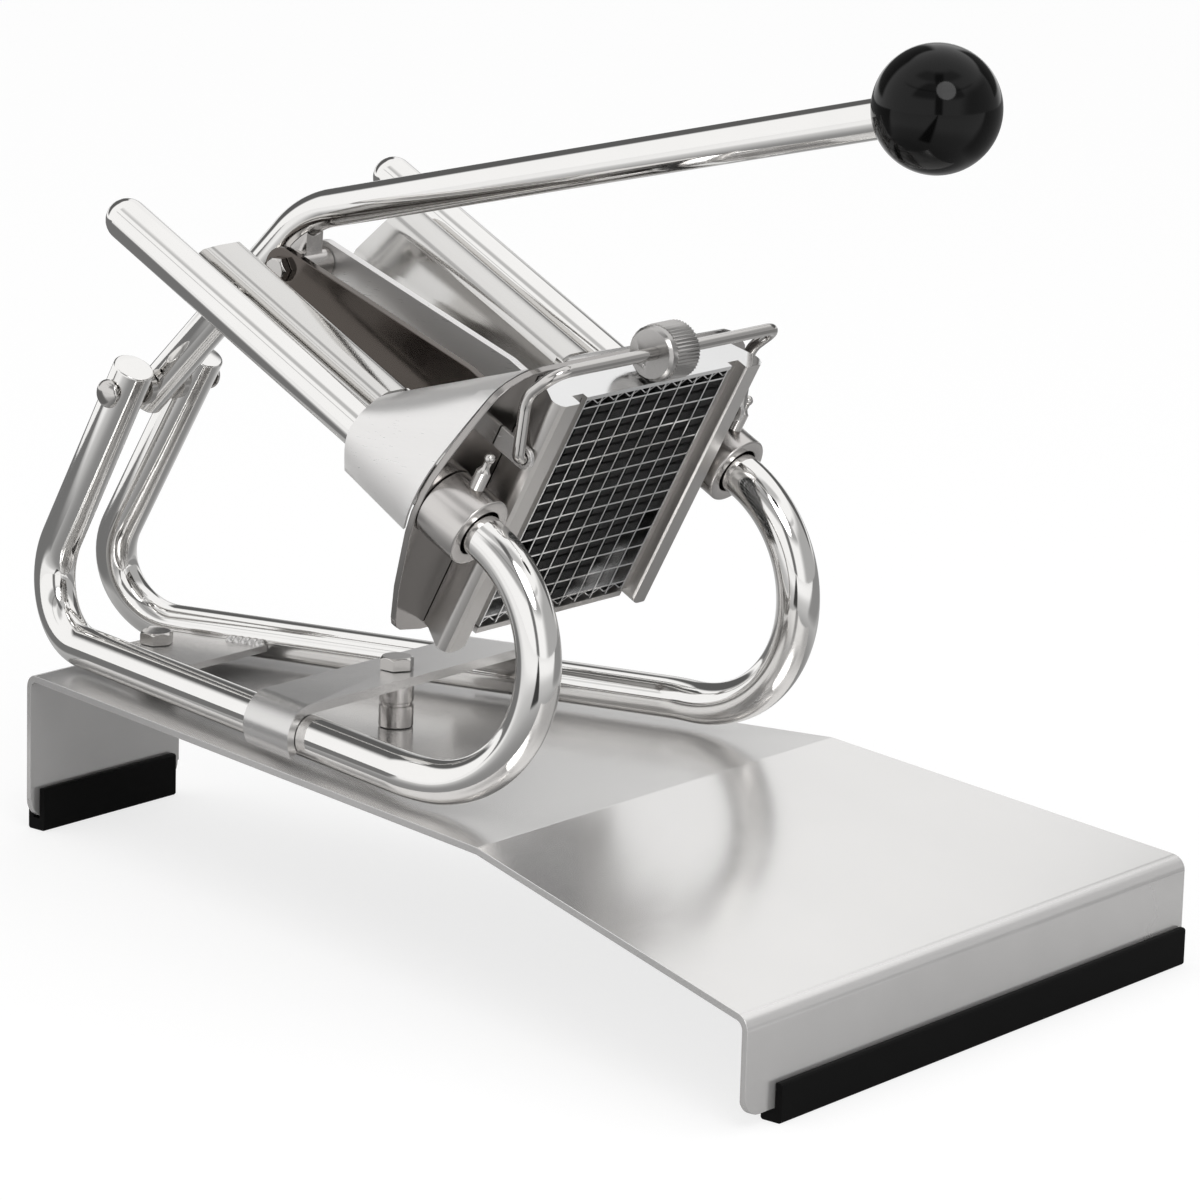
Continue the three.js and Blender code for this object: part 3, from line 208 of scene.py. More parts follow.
# %% Steel finishes
CLOUD_SIZE = 45 * MM
WAVE_SIZE = 5 * MM
MARK_SIZE = 0.6 * MM
SMUDGE_SIZE = 22 * MM
LINE_ROUGHNESS = 0.10
CLOUD_ROUGHNESS = 0.08
SMUDGE_ROUGHNESS = 0.08
MARK_ROUGHNESS = 0.03
LINE_TONE = 0.4
CLOUD_TONE = 0.6
SATIN_DARK = 0.92
SATIN_LIGHT = 1.06
MIRROR_DARK = 0.95


def satin_steel(name, grey, roughness, stretch, line=0.3, metallic=1.0, relief=0.0):
    """Brushed steel. line is the width of its lines and relief their depth, in mm."""
    finish = Finish(name, Metallic=metallic, Specular_IOR_Level=0.6)
    lines = finish.grain(line * MM, stretch)
    clouds = finish.grain(CLOUD_SIZE)
    finish.feed("Roughness", lines * LINE_ROUGHNESS + clouds * CLOUD_ROUGHNESS + roughness)
    low = tuple(value * SATIN_DARK for value in grey)
    high = tuple(min(value * SATIN_LIGHT, 1.0) for value in grey)
    finish.shade(low, high, lines * LINE_TONE + clouds * CLOUD_TONE + 0.5)
    if relief > 0:
        finish.relief(lines, relief * MM)
    return finish.material


def polished_steel(name, grey, roughness, peel=0.004):
    """Mirror polished steel. peel is the depth of its slight waves, in mm."""
    finish = Finish(name, Metallic=1.0)
    waves = finish.grain(WAVE_SIZE, detail=1.0)
    marks = finish.grain(MARK_SIZE, (1.0, 14.0, 14.0), 2.0)
    smudge = finish.grain(SMUDGE_SIZE)
    finish.feed("Roughness", smudge * SMUDGE_ROUGHNESS + marks * MARK_ROUGHNESS + roughness)
    low = tuple(value * MIRROR_DARK for value in grey)
    finish.shade(low, grey, smudge + 0.5)
    finish.relief(waves, peel * MM)
    return finish.material


base_satin = satin_steel(
    "base satin", (0.80, 0.79, 0.78), roughness=0.21, stretch=(1.0, 60.0, 60.0),
    metallic=0.72, relief=0.0012,
)
sheet_satin = satin_steel(
    "sheet satin", (0.72, 0.71, 0.70), roughness=0.24, stretch=(40.0, 1.0, 1.0),
    metallic=0.80, relief=0.0015,
)
hood_satin = satin_steel(
    "hood satin", (0.80, 0.79, 0.78), roughness=0.30, stretch=(40.0, 1.0, 1.0),
    metallic=0.64,
)
turned_satin = satin_steel(
    "turned satin", (0.60, 0.58, 0.565), roughness=0.22, stretch=(1.0, 30.0, 30.0),
    relief=0.0015,
)
knurled_satin = satin_steel(
    "knurled satin", (0.46, 0.45, 0.44), roughness=0.22, stretch=(1.0, 30.0, 30.0),
    relief=0.0015,
)
die_satin = satin_steel(
    "die satin", (0.60, 0.585, 0.57), roughness=0.30, stretch=(30.0, 1.0, 1.0),
    line=0.4, relief=0.002,
)
tube_mirror = polished_steel("tube mirror", (0.85, 0.84, 0.825), roughness=0.07)
sheet_mirror = polished_steel("sheet mirror", (0.68, 0.67, 0.655), roughness=0.12, peel=0.0015)
head_mirror = polished_steel("head mirror", (0.38, 0.365, 0.355), roughness=0.12, peel=0.0015)
# A near-black copy of the mirror steel for the near link. Both links are one steel, so this dark grey is painted
# shade.
painted_shade_link_mirror = polished_steel("link mirror", (0.13, 0.115, 0.105), roughness=0.12, peel=0.0015)
blade_bright = polished_steel("blade bright", (0.80, 0.80, 0.80), roughness=0.16)
fastener_steel = polished_steel("fastener steel", (0.60, 0.585, 0.57), roughness=0.14)
print("steel finishes:", [material.name for material in bpy.data.materials])

# %% [markdown]
# The foot strips are soft black rubber with a dull grain, the ball on the lever is black
# plastic moulded to a high gloss, and the pusher is a dull moulded black.


# %% Black finishes
DUST_SIZE = 18 * MM
PORE_TONE = 0.6
PORE_ROUGHNESS = 0.10
DUST_ROUGHNESS = 0.14


def black_finish(name, dark, light, roughness, pore_size, depth, **constants):
    finish = Finish(name, Metallic=0.0, **constants)
    pores = finish.grain(pore_size)
    dust = finish.grain(DUST_SIZE, detail=4.0)
    finish.shade(dark, light, pores * PORE_TONE + dust + 0.5)
    finish.feed("Roughness", pores * PORE_ROUGHNESS + dust * DUST_ROUGHNESS + roughness)
    finish.relief(pores, depth)
    return finish.material


foot_rubber = black_finish(
    "foot rubber", (0.002, 0.002, 0.002), (0.006, 0.006, 0.006), roughness=0.62,
    pore_size=0.5 * MM, depth=0.03 * MM, Specular_IOR_Level=0.10,
)
pusher_black = black_finish(
    "pusher black", (0.008, 0.008, 0.008), (0.022, 0.022, 0.022), roughness=0.48,
    pore_size=0.4 * MM, depth=0.01 * MM,
)
ball_gloss = black_finish(
    "ball gloss", (0.001, 0.001, 0.001), (0.003, 0.003, 0.003), roughness=0.10,
    pore_size=6 * MM, depth=0.001 * MM, Specular_IOR_Level=0.22,
)
print("all finishes:", len(bpy.data.materials))

# %% [markdown]
# ## Bending, turning and refining
# Three helpers make nearly every piece. A rod is a circle that is extruded from station to
# station along a bent path, as a bender pushes tube through its dies. A turned piece is a
# profile spun round its axis, as on a lathe. Sheet keeps the frame's own outline: a merged
# copy is cleaned of its triangles and gets the small rounded edge of real cut sheet.


# %% A finished piece
def finished(name, bm, material, body, slot, *nodes, smooth_angle=32.0):
    """Turns a bmesh into a piece on its body, in place of the frame's nodes."""
    mesh = bpy.data.meshes.new(name)
    bm.to_mesh(mesh)
    bm.free()
    piece = bpy.data.objects.new(name, mesh)
    bpy.context.scene.collection.objects.link(piece)
    mesh.materials.append(material)
    mesh.polygons.foreach_set("use_smooth", [True] * len(mesh.polygons))
    mesh.set_sharp_from_angle(angle=math.radians(smooth_angle))
    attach(piece, body)
    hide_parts(*nodes)
    return piece


SIDES = {"left": 1, "right": -1}
slot_of_node = {row["node"]: row["material_slot"] for row in frame["record"]["subparts"]}


def seat_of(node):
    """The body, slot and name of the node that a piece stands for."""
    return body_of_node[node], slot_of_node[node], node


# %% A bend at each corner of a path
def bent_path(corners, radii, steps=24):
    path = [corners[0]]
    for before, corner, after, radius in zip(corners, corners[1:], corners[2:], radii):
        back = (before - corner).normalized()
        ahead = (after - corner).normalized()
        half = back.angle(ahead) / 2
        centre = corner + (back + ahead).normalized() * (radius / math.sin(half))
        start = corner + back * (radius / math.tan(half)) - centre
        end = corner + ahead * (radius / math.tan(half)) - centre
        sweep = start.angle(end)
        for k in range(steps + 1):
            first = math.sin((1 - k / steps) * sweep) / math.sin(sweep)
            last = math.sin(k / steps * sweep) / math.sin(sweep)
            path.append(centre + start * first + end * last)
    path.append(corners[-1])
    return path


# %% A rod along a path
RIM_STEPS = 4
DOME_STEPS = 8


def rod(path, radius, sides, end_round, dome=0.0):
    """A closed round rod with rounded rims, or with a dome of that height at its last end."""
    bm = bmesh.new()
    tangents = []
    for i in range(len(path)):
        tangents.append((path[min(i + 1, len(path) - 1)] - path[max(i - 1, 0)]).normalized())
    side = tangents[0].orthogonal().normalized()
    start = Matrix.Translation(path[0]) @ Matrix((
        side, tangents[0].cross(side), tangents[0],
    )).transposed().to_4x4()
    bmesh.ops.create_circle(bm, segments=sides, radius=radius, matrix=start)
    first_edges = list(bm.edges)
    edges = first_edges
    for i in range(1, len(path)):
        turn = tangents[i - 1].rotation_difference(tangents[i]).to_matrix().to_4x4()
        step = Matrix.Translation(path[i]) @ turn @ Matrix.Translation(-path[i - 1])
        grown = bmesh.ops.extrude_edge_only(bm, edges=edges)["geom"]
        verts = [item for item in grown if isinstance(item, bmesh.types.BMVert)]
        edges = [item for item in grown if isinstance(item, bmesh.types.BMEdge)]
        bmesh.ops.transform(bm, matrix=step, verts=verts)
    caps = [bmesh.ops.contextual_create(bm, geom=rim)["faces"][0] for rim in (first_edges, edges)]
    for cap, tangent, raise_by in zip(caps, (-tangents[0], tangents[-1]), (0.0, dome)):
        if raise_by > 0:
            round_end(bm, cap, tangent, radius, raise_by)
        else:
            bmesh.ops.bevel(
                bm, geom=list(cap.edges), offset=end_round, segments=RIM_STEPS,
                affect="EDGES", profile=0.5, material=-1,
            )
    bmesh.ops.recalc_face_normals(bm, faces=bm.faces)
    return bm


def round_end(bm, cap, tangent, radius, height):
    """Insets and lifts a cap ring by ring until it is a dome."""
    width, rise = 1.0, 0.0
    for k in range(1, DOME_STEPS):
        angle = k / DOME_STEPS * math.pi / 2
        inset = radius * (width - math.cos(angle))
        lift = tangent * height * (math.sin(angle) - rise)
        bmesh.ops.inset_region(bm, faces=[cap], thickness=inset, use_even_offset=True)
        bmesh.ops.translate(bm, vec=lift, verts=cap.verts)
        width, rise = math.cos(angle), math.sin(angle)


# %% A piece turned on a lathe
LATHE_MERGE = 0.002 * MM


def turned(profile, place, axis, steps):
    """Spins rows of (radius, distance along the axis), and closes those of a ring."""
    bm = bmesh.new()
    axis = axis.normalized()
    side = axis.orthogonal().normalized()
    verts = [bm.verts.new(place + side * radius + axis * along) for radius, along in profile]
    edges = [bm.edges.new(pair) for pair in zip(verts, verts[1:])]
    if profile[0][0] > 0:
        edges.append(bm.edges.new((verts[-1], verts[0])))
    bmesh.ops.spin(
        bm, geom=verts + edges, cent=place, axis=axis, angle=math.tau, steps=steps, use_merge=True,
    )
    bmesh.ops.remove_doubles(bm, verts=bm.verts, dist=LATHE_MERGE)
    bmesh.ops.recalc_face_normals(bm, faces=bm.faces)
    return bm


def scaled(rows):
    """Profile rows in metres, from rows in millimetres."""
    return [(radius * MM, along * MM) for radius, along in rows]


def arc_rows(centre, radius, start, end, steps):
    """Profile rows round a rounded corner, in degrees from the radius direction."""
    rows = []
    for k in range(steps + 1):
        angle = math.radians(start + (end - start) * k / steps)
        rows.append((centre[0] + radius * math.cos(angle), centre[1] + radius * math.sin(angle)))
    return rows


# %% Sheet with a rounded edge
SHEET_MERGE = 0.001 * MM
EDGE_SEGMENTS = 2
EDGE_ANGLE = 30.0
FLAT = 0.4
NEARLY_FLAT = 0.05


def refined(node, material, edge, flat=FLAT):
    """flat is the angle in degrees below which triangles count as one flat face."""
    bm = bmesh.new()
    bm.from_mesh(frame["nodes"][node].data)
    bmesh.ops.remove_doubles(bm, verts=bm.verts, dist=SHEET_MERGE)
    bmesh.ops.dissolve_limit(
        bm, angle_limit=math.radians(flat), verts=bm.verts, edges=bm.edges,
        use_dissolve_boundaries=False,
    )
    bmesh.ops.recalc_face_normals(bm, faces=bm.faces)
    piece = finished(
        f"{node}_sheet", bm, material, *seat_of(node), smooth_angle=EDGE_ANGLE,
    )
    bevel = piece.modifiers.new("edge", "BEVEL")
    bevel.width = edge
    bevel.segments = EDGE_SEGMENTS
    bevel.limit_method = "ANGLE"
    bevel.angle_limit = math.radians(EDGE_ANGLE)
    bevel.harden_normals = True
    return piece


# %% [markdown]
# ## Slope coordinates
# The chute, the head plate, the grid and the guides all lie on one slope. The frame's
# slide joint gives its direction and the bail's hinge gives a point on it, so a place is
# written as the distance s down the slope, y to the left and n square to the slope.

# %% Slope coordinates
down = Vector(joints["pusher_slide"]["axis"]).normalized()
square = Vector((-down.z, 0.0, down.x))
BAIL_PIVOT_S = 209.0
BAIL_PIVOT_N = 30.0
bail_pivot = Vector(joints["bail_pivot"]["pos_m"])
slope_origin = bail_pivot - down * BAIL_PIVOT_S * MM - square * BAIL_PIVOT_N * MM
left = Vector((0.0, 1.0, 0.0))


def on_slope(s, y, n):
    return slope_origin + down * s * MM + left * y * MM + square * n * MM


print("slope falls", round(math.degrees(math.asin(-down.z)), 2), "degrees")

# %% [markdown]
# ## Side tubes
# Each side of the cutter is one 18 mm tube: it stands up at the back, runs along the base,
# turns back in a wide loop at the front and climbs the slope as the guide of the chute.

# %% Side tubes
TUBE_RADIUS = 9.0
TUBE_SIDES = 64
TUBE_RIM = 1.0
TUBE_DOME = 8.9
LOOP_STEPS = 56
RUN_HEIGHT = 82.3
ELBOW = Vector((-257.4, 17.0, RUN_HEIGHT)) * MM
UPRIGHT_LEAN = math.radians(29.0)
UPRIGHT_TOP_Y = 21.5
UPRIGHT_TOP_Z = 207.5
PLAN_BEND = Vector((26.7, 86.0, RUN_HEIGHT)) * MM
LOOP_CENTRE = Vector((35.1, 86.0, RUN_HEIGHT + 53.5)) * MM
LOOP_RADIUS = 53.5 * MM
GUIDE_Y = 82.0
REAR_BEND = 29.6 * MM
PLAN_BEND_RADIUS = 50 * MM

upright_top = Vector((
    ELBOW.x + (UPRIGHT_TOP_Z - RUN_HEIGHT) * MM * math.tan(UPRIGHT_LEAN),
    UPRIGHT_TOP_Y * MM,
    UPRIGHT_TOP_Z * MM,
))
loop_start = Vector((LOOP_CENTRE.x, LOOP_CENTRE.y, RUN_HEIGHT * MM))
tube_path = bent_path([upright_top, ELBOW, PLAN_BEND, loop_start], [REAR_BEND, PLAN_BEND_RADIUS])
loop_sweep = math.pi - math.asin(-down.z)
for k in range(1, LOOP_STEPS + 1):
    share = k / LOOP_STEPS
    angle = share * loop_sweep
    ease = share * share * (3 - 2 * share)
    tube_path.append(Vector((
        LOOP_CENTRE.x + LOOP_RADIUS * math.sin(angle),
        LOOP_CENTRE.y + (GUIDE_Y * MM - LOOP_CENTRE.y) * ease,
        LOOP_CENTRE.z - LOOP_RADIUS * math.cos(angle),
    )))
tube_path.append(on_slope(0, GUIDE_Y, 0))

for side_name, sign in SIDES.items():
    path = [Vector((point.x, point.y * sign, point.z)) for point in tube_path]
    finished(
        f"bent_tube_{side_name}",
        rod(path, TUBE_RADIUS * MM, TUBE_SIDES, TUBE_RIM * MM, TUBE_DOME * MM),
        tube_mirror, "frame", "polished", f"side_tube_{side_name}",
    )
print("side tube stations:", len(tube_path))

# %% [markdown]
# ## Lever and ball
# The lever is a 16 mm tube with one bend above the chute. Its ball is turned: a sphere with
# a small flat mouth where the tube goes in.

# %% Lever and ball
LEVER_RADIUS = 8.0
LEVER_SIDES = 56
LEVER_RIM = 0.8
LEVER_BEND = Vector((-109.6, 0.0, 281.7)) * MM
LEVER_BEND_RADIUS = 50 * MM
LEVER_TAIL = 11 * MM
HANDLE_ANGLE = math.radians(14.0)
HANDLE_LENGTH = 303 * MM
BALL_DISTANCE = 326 * MM
BALL_RADIUS = 25.0
BALL_MOUTH = 11.0
BALL_MOUTH_RIM = 0.8

pivot = Vector(joints["lever_pivot"]["pos_m"])
handle = Vector((math.cos(HANDLE_ANGLE), 0.0, math.sin(HANDLE_ANGLE)))
lever_start = pivot - (LEVER_BEND - pivot).normalized() * LEVER_TAIL
lever_end = LEVER_BEND + handle * HANDLE_LENGTH
lever_path = bent_path([lever_start, LEVER_BEND, lever_end], [LEVER_BEND_RADIUS], steps=32)
finished(
    "lever_bent_tube", rod(lever_path, LEVER_RADIUS * MM, LEVER_SIDES, LEVER_RIM * MM),
    tube_mirror, "lever", "polished", "lever_tube",
)

mouth = -math.sqrt(BALL_RADIUS ** 2 - BALL_MOUTH ** 2)
mouth_angle = math.degrees(math.asin(mouth / BALL_RADIUS))
ball_rows = [(0.0, mouth), (BALL_MOUTH - BALL_MOUTH_RIM, mouth)]
ball_rows += arc_rows((0.0, 0.0), BALL_RADIUS, mouth_angle, 90.0, 48)
ball_rows[-1] = (0.0, BALL_RADIUS)
ball_place = LEVER_BEND + handle * BALL_DISTANCE
finished(
    "lever_ball", turned(scaled(ball_rows), ball_place, handle, steps=96),
    ball_gloss, "lever", "black_gloss", "knob",
)
print("lever stations:", len(lever_path))

# %% [markdown]
# ## Bail and latch roller
# A 5 mm wire bail swings over the die. The knurled roller turns off centre on it, and its
# high side clamps the die.

# %% Bail wire
WIRE_RADIUS = 2.5
WIRE_SIDES = 32
WIRE_RIM = 0.3
BAIL_LEG_Y = 70.6
BAIL_INNER_Y = 65.5
BAIL_KNEE_S = 200.6
BAIL_KNEE_N = 54.0
BAIL_TOP_S = 208.5
BAIL_TOP_N = 70.7
BAIL_BENDS = [2.7 * MM, 14 * MM, 7.5 * MM]
bail_left = [
    (BAIL_PIVOT_S, BAIL_INNER_Y, BAIL_PIVOT_N),
    (BAIL_PIVOT_S, BAIL_LEG_Y, BAIL_PIVOT_N),
    (BAIL_KNEE_S, BAIL_LEG_Y, BAIL_KNEE_N),
    (BAIL_TOP_S, BAIL_LEG_Y, BAIL_TOP_N),
]
bail_corners = [on_slope(*row) for row in bail_left]
bail_corners += [on_slope(s, -y, n) for s, y, n in reversed(bail_left)]
bail_path = bent_path(bail_corners, BAIL_BENDS + BAIL_BENDS[::-1], steps=16)
finished(
    "bail_bent_wire", rod(bail_path, WIRE_RADIUS * MM, WIRE_SIDES, WIRE_RIM * MM),
    fastener_steel, "bail", "satin", "bail_wire",
)
print("bail stations:", len(bail_path))

# %% [markdown]
# ## Turned pieces
# The collars, their set screws, the standoff and the pivot pin come from a lathe, so their
# profiles are spun here with small rounded rims.

# %% Collars and set screws
COLLAR_RADIUS = 15.0
COLLAR_BORE = 10.1
COLLAR_LOW = 194.3
COLLAR_HIGH = 214.8
RIM = 0.5
TOP_RIM = 0.9
SCREW_S = 204.4
SCREW_RADIUS = 3.1
SCREW_ROOT = 2.6
SCREW_TIP = 9.4
SCREW_PITCH = 0.9
SCREW_CREST = 0.4
SCREW_SHOULDER = 23.6
SCREW_NECK = 1.6
SCREW_NECK_RISE = 1.2
SCREW_BALL = 2.2
SCREW_TOP = 31.0

top_corner = (COLLAR_RADIUS - TOP_RIM, COLLAR_HIGH - TOP_RIM)
collar_rows = [(COLLAR_BORE, COLLAR_LOW)]
collar_rows += arc_rows((COLLAR_RADIUS - RIM, COLLAR_LOW + RIM), RIM, -90, 0, 5)
collar_rows += arc_rows(top_corner, TOP_RIM, 0, 90, 6)
collar_rows += arc_rows((COLLAR_BORE + RIM, COLLAR_HIGH - RIM), RIM, 90, 180, 5)

screw_rows = [(0.0, SCREW_TIP), (SCREW_ROOT, SCREW_TIP)]
turns = int((SCREW_SHOULDER - SCREW_TIP) / SCREW_PITCH)
for turn in range(turns):
    start = SCREW_TIP + turn * SCREW_PITCH
    screw_rows += [(SCREW_RADIUS, start + SCREW_PITCH * SCREW_CREST)]
    screw_rows += [(SCREW_ROOT, start + SCREW_PITCH)]
screw_rows += [(SCREW_NECK, SCREW_SHOULDER + SCREW_NECK_RISE)]
screw_rows += arc_rows((0.0, SCREW_TOP - SCREW_BALL), SCREW_BALL, -40, 90, 12)
screw_rows[-1] = (0.0, SCREW_TOP)

for side_name, sign in SIDES.items():
    guide = on_slope(0, GUIDE_Y * sign, 0)
    finished(
        f"turned_collar_{side_name}", turned(scaled(collar_rows), guide, down, steps=96),
        turned_satin, *seat_of(f"collar_{side_name}"),
    )
    screw_place = on_slope(SCREW_S, GUIDE_Y * sign, 0)
    finished(
        f"turned_set_screw_{side_name}", turned(scaled(screw_rows), screw_place, square, steps=40),
        fastener_steel, *seat_of(f"set_screw_{side_name}"),
    )
print("rows in the collar and screw profiles:", len(collar_rows), len(screw_rows))

# %% The standoff and the pivot pin
STANDOFF_RADIUS = 7.3
STANDOFF_BORE = 4.3
STANDOFF_LOW = 71.3
STANDOFF_HIGH = 91.3
GROOVE_DEPTH = 0.8
GROOVE_HALF = 0.7
FRONT_BOLT_X = -56.3
PIN_RADIUS = 4.0
PIN_HEAD_RADIUS = 6.2
PIN_HEAD_HEIGHT = 3.6
PIN_HEAD_RIM = 0.3
PIN_DOME_STEPS = 12

groove = (STANDOFF_LOW + STANDOFF_HIGH) / 2
standoff_rows = [(STANDOFF_BORE, STANDOFF_LOW)]
standoff_rows += arc_rows((STANDOFF_RADIUS - RIM, STANDOFF_LOW + RIM), RIM, -90, 0, 4)
for half_turn, edge in ((1, groove - GROOVE_HALF), (-1, groove + GROOVE_HALF)):
    corner = [(STANDOFF_RADIUS, edge - RIM * half_turn / 2), (STANDOFF_RADIUS - RIM / 2, edge)]
    corner += [(STANDOFF_RADIUS - GROOVE_DEPTH, edge)]
    standoff_rows += corner[::half_turn]
standoff_rows += arc_rows((STANDOFF_RADIUS - RIM, STANDOFF_HIGH - RIM), RIM, 0, 90, 4)
standoff_rows += [(STANDOFF_BORE, STANDOFF_HIGH)]
standoff_place = Vector((FRONT_BOLT_X * MM, 0.0, 0.0))
up = Vector((0.0, 0.0, 1.0))
finished(
    "turned_standoff", turned(scaled(standoff_rows), standoff_place, up, steps=64),
    turned_satin, *seat_of("front_standoff"),
)

pin_half = max(vertex.co.y for vertex in frame["nodes"]["pivot_pin"].data.vertices)
pin_seat = pin_half - PIN_HEAD_HEIGHT * MM
pin_rim = PIN_HEAD_RIM * MM
dome_rise = pin_half - pin_rim - pin_seat
head_rows = [(0.0, pin_seat), ((PIN_HEAD_RADIUS - PIN_HEAD_RIM) * MM, pin_seat)]
for k in range(PIN_DOME_STEPS + 1):
    angle = k / PIN_DOME_STEPS * math.pi / 2
    out = PIN_HEAD_RADIUS * MM * math.cos(angle)
    head_rows.append((out, pin_seat + pin_rim + dome_rise * math.sin(angle)))
head_rows[-1] = (0.0, pin_half)
shank_radius = PIN_RADIUS * MM
shank_rows = [(0.0, -pin_seat), (shank_radius, -pin_seat)]
shank_rows += [(shank_radius, pin_seat), (0.0, pin_seat)]
pin_bm = turned(shank_rows, pivot, left, steps=40)
for direction in (left, -left):
    head = turned(head_rows, pivot, direction, steps=48)
    head_mesh = bpy.data.meshes.new("pin_head")
    head.to_mesh(head_mesh)
    head.free()
    pin_bm.from_mesh(head_mesh)
    bpy.data.meshes.remove(head_mesh)
finished("turned_pivot_pin", pin_bm, fastener_steel, *seat_of("pivot_pin"))
print("pin is", round(2 * pin_half / MM, 2), "mm long")

# %% [markdown]
# ## The zigzag strips
# Above and below the crossing blades a thin strip is folded to and fro between the frame
# and the first blade, one peak to each cell.

# %% Zigzag strips
GRID_PITCH = 10.0
GRID_CELLS = 9
STRIP_HALF = 0.25
STRIP_REAR = 206.6
STRIP_FRONT = 209.8
STRIP_SMOOTH_ANGLE = 20.0
BANDS = {"top": (51.1, 54.7), "bottom": (-57.5, -53.9)}


def folded_strip(low, high):
    bm = bmesh.new()
    rows = []
    for k in range(GRID_CELLS * 2 + 1):
        y = (k / 2 - GRID_CELLS / 2) * GRID_PITCH
        n = high - STRIP_HALF if k % 2 else low + STRIP_HALF
        corners = ((STRIP_REAR, -1), (STRIP_REAR, 1), (STRIP_FRONT, 1), (STRIP_FRONT, -1))
        rows.append([bm.verts.new(on_slope(s, y, n + side * STRIP_HALF)) for s, side in corners])
    for row, following in zip(rows, rows[1:]):
        for i in range(4):
            j = (i + 1) % 4
            bm.faces.new((row[i], row[j], following[j], following[i]))
    bm.faces.new(rows[0])
    bm.faces.new(rows[-1])
    bmesh.ops.recalc_face_normals(bm, faces=bm.faces)
    return bm


strip_body, strip_slot, _ = seat_of("blade_grid")
for band, (low, high) in BANDS.items():
    finished(
        f"zigzag_strip_{band}", folded_strip(low, high), blade_bright, strip_body, strip_slot,
        smooth_angle=STRIP_SMOOTH_ANGLE,
    )
print("peaks in a strip:", GRID_CELLS)

# %% [markdown]
# ## Everything that is cut from sheet or bar
# These keep the outline that the frame gives them and get their finish and the width of
# their rounded edge here, in millimetres. The hoods are bent in facets so shallow that only
# truly flat ones may be joined. What is left after them is bolts, nuts, washers, spacers
# and a pin, all in the same bright steel.

# %% Sheet, bar and the rest
sheet_finishes = {
    "base_plate": (base_satin, 0.4),
    "front_crossbar": (sheet_satin, 0.5),
    "rear_cross_plate": (sheet_satin, 0.4),
    "head_plate": (head_mirror, 0.4),
    "hood_left": (hood_satin, 0.25),
    "hood_right": (hood_satin, 0.25),
    "chute": (sheet_mirror, 0.25),
    "die_frame": (die_satin, 0.4),
    "blade_grid": (blade_bright, 0.08),
    # The two links are one steel: the near, right one gets the near-black mirror as painted shade, and the far,
    # left one the hoods' light satin.
    "link_left": (hood_satin, 0.5),
    "link_right": (painted_shade_link_mirror, 0.5),
    "front_foot_strip": (foot_rubber, 0.4),
    "rear_foot_strip": (foot_rubber, 0.4),
    "pusher_block": (pusher_black, 0.25),
    "pusher_bracket": (sheet_satin, 0.4),
    "bail_lug_left": (sheet_satin, 0.25),
    "bail_lug_right": (sheet_satin, 0.25),
    "latch_roller": (knurled_satin, 0.12),
    "lever_boss": (turned_satin, 0.3),
}
FASTENER_EDGE = 0.2
refined_pieces = {}
for node, (material, edge) in sheet_finishes.items():
    flat = NEARLY_FLAT if material is hood_satin else FLAT
    refined_pieces[node] = refined(node, material, edge * MM, flat)

for node, cad_node in frame["nodes"].items():
    if not cad_node.hide_render:
        refined(node, fastener_steel, FASTENER_EDGE * MM)

# %% [markdown]
# The top face of the die frame is bright, and its other faces stay satin.

# %% The top of the die
DIE_TOP = 57.0
DIE_TOP_BAND = 2.0
die = refined_pieces["die_frame"].data
die.materials.append(blade_bright)
for polygon in die.polygons:
    rise = (polygon.center - slope_origin).dot(square)
    if rise > (DIE_TOP - DIE_TOP_BAND) * MM:
        polygon.material_index = 1
print("bright faces:", sum(polygon.material_index for polygon in die.polygons))

# %% [markdown]
# ## The studio
# Polished steel shows what stands round it, so the studio is laid out for its reflections.
# It is a white room with darker areas, and each of them draws a grey or black line along
# the tubes. Places on the floor and directions in the room are both split into a part that
# points to the camera and a part that points to its right.

# %% The camera's two directions
VIEW_SINE = 0.625
VIEW_COSINE = 0.781


def seen_from_camera(x, y):
    """The part of a place or direction that points to the camera, and that to its right."""
    return x * VIEW_SINE - y * VIEW_COSINE, x * VIEW_COSINE + y * VIEW_SINE


# %% [markdown]
# ## The floor
# The camera sees white paper that glows a little. Reflections see painted shade on it too: a
# painted shadow all round the object, painted dark areas behind it and at its sides, and a
# painted reflection of the camera's stand in a strip before it. Every other ray meets plain
# paper, so the light that the floor throws up is even. Distances are in metres, and the last
# number of an area says how dark it is.

# %% The floor
FLOOR_SIZE = 8.0
floor_bm = bmesh.new()
bmesh.ops.create_grid(floor_bm, x_segments=1, y_segments=1, size=FLOOR_SIZE)
floor_mesh = bpy.data.meshes.new("floor")
floor_bm.to_mesh(floor_mesh)
floor_bm.free()
floor = bpy.data.objects.new("floor", floor_mesh)
bpy.context.scene.collection.objects.link(floor)
print("floor is", FLOOR_SIZE * 2, "m wide")

# %% The painted shade of the floor
DARKEST = 0.95
PAPER_COLOUR = 0.30
PAPER_GLOW = 0.74
PLAIN_PAPER = (0.8, 0.8, 0.8, 1.0)

paper = Finish("floor paper", Roughness=0.9, Specular_IOR_Level=0.0)
along, across, _ = paper.axes("Object")
toward, aside = seen_from_camera(along, across)
distance = (along * along + across * across).combine("SQRT")
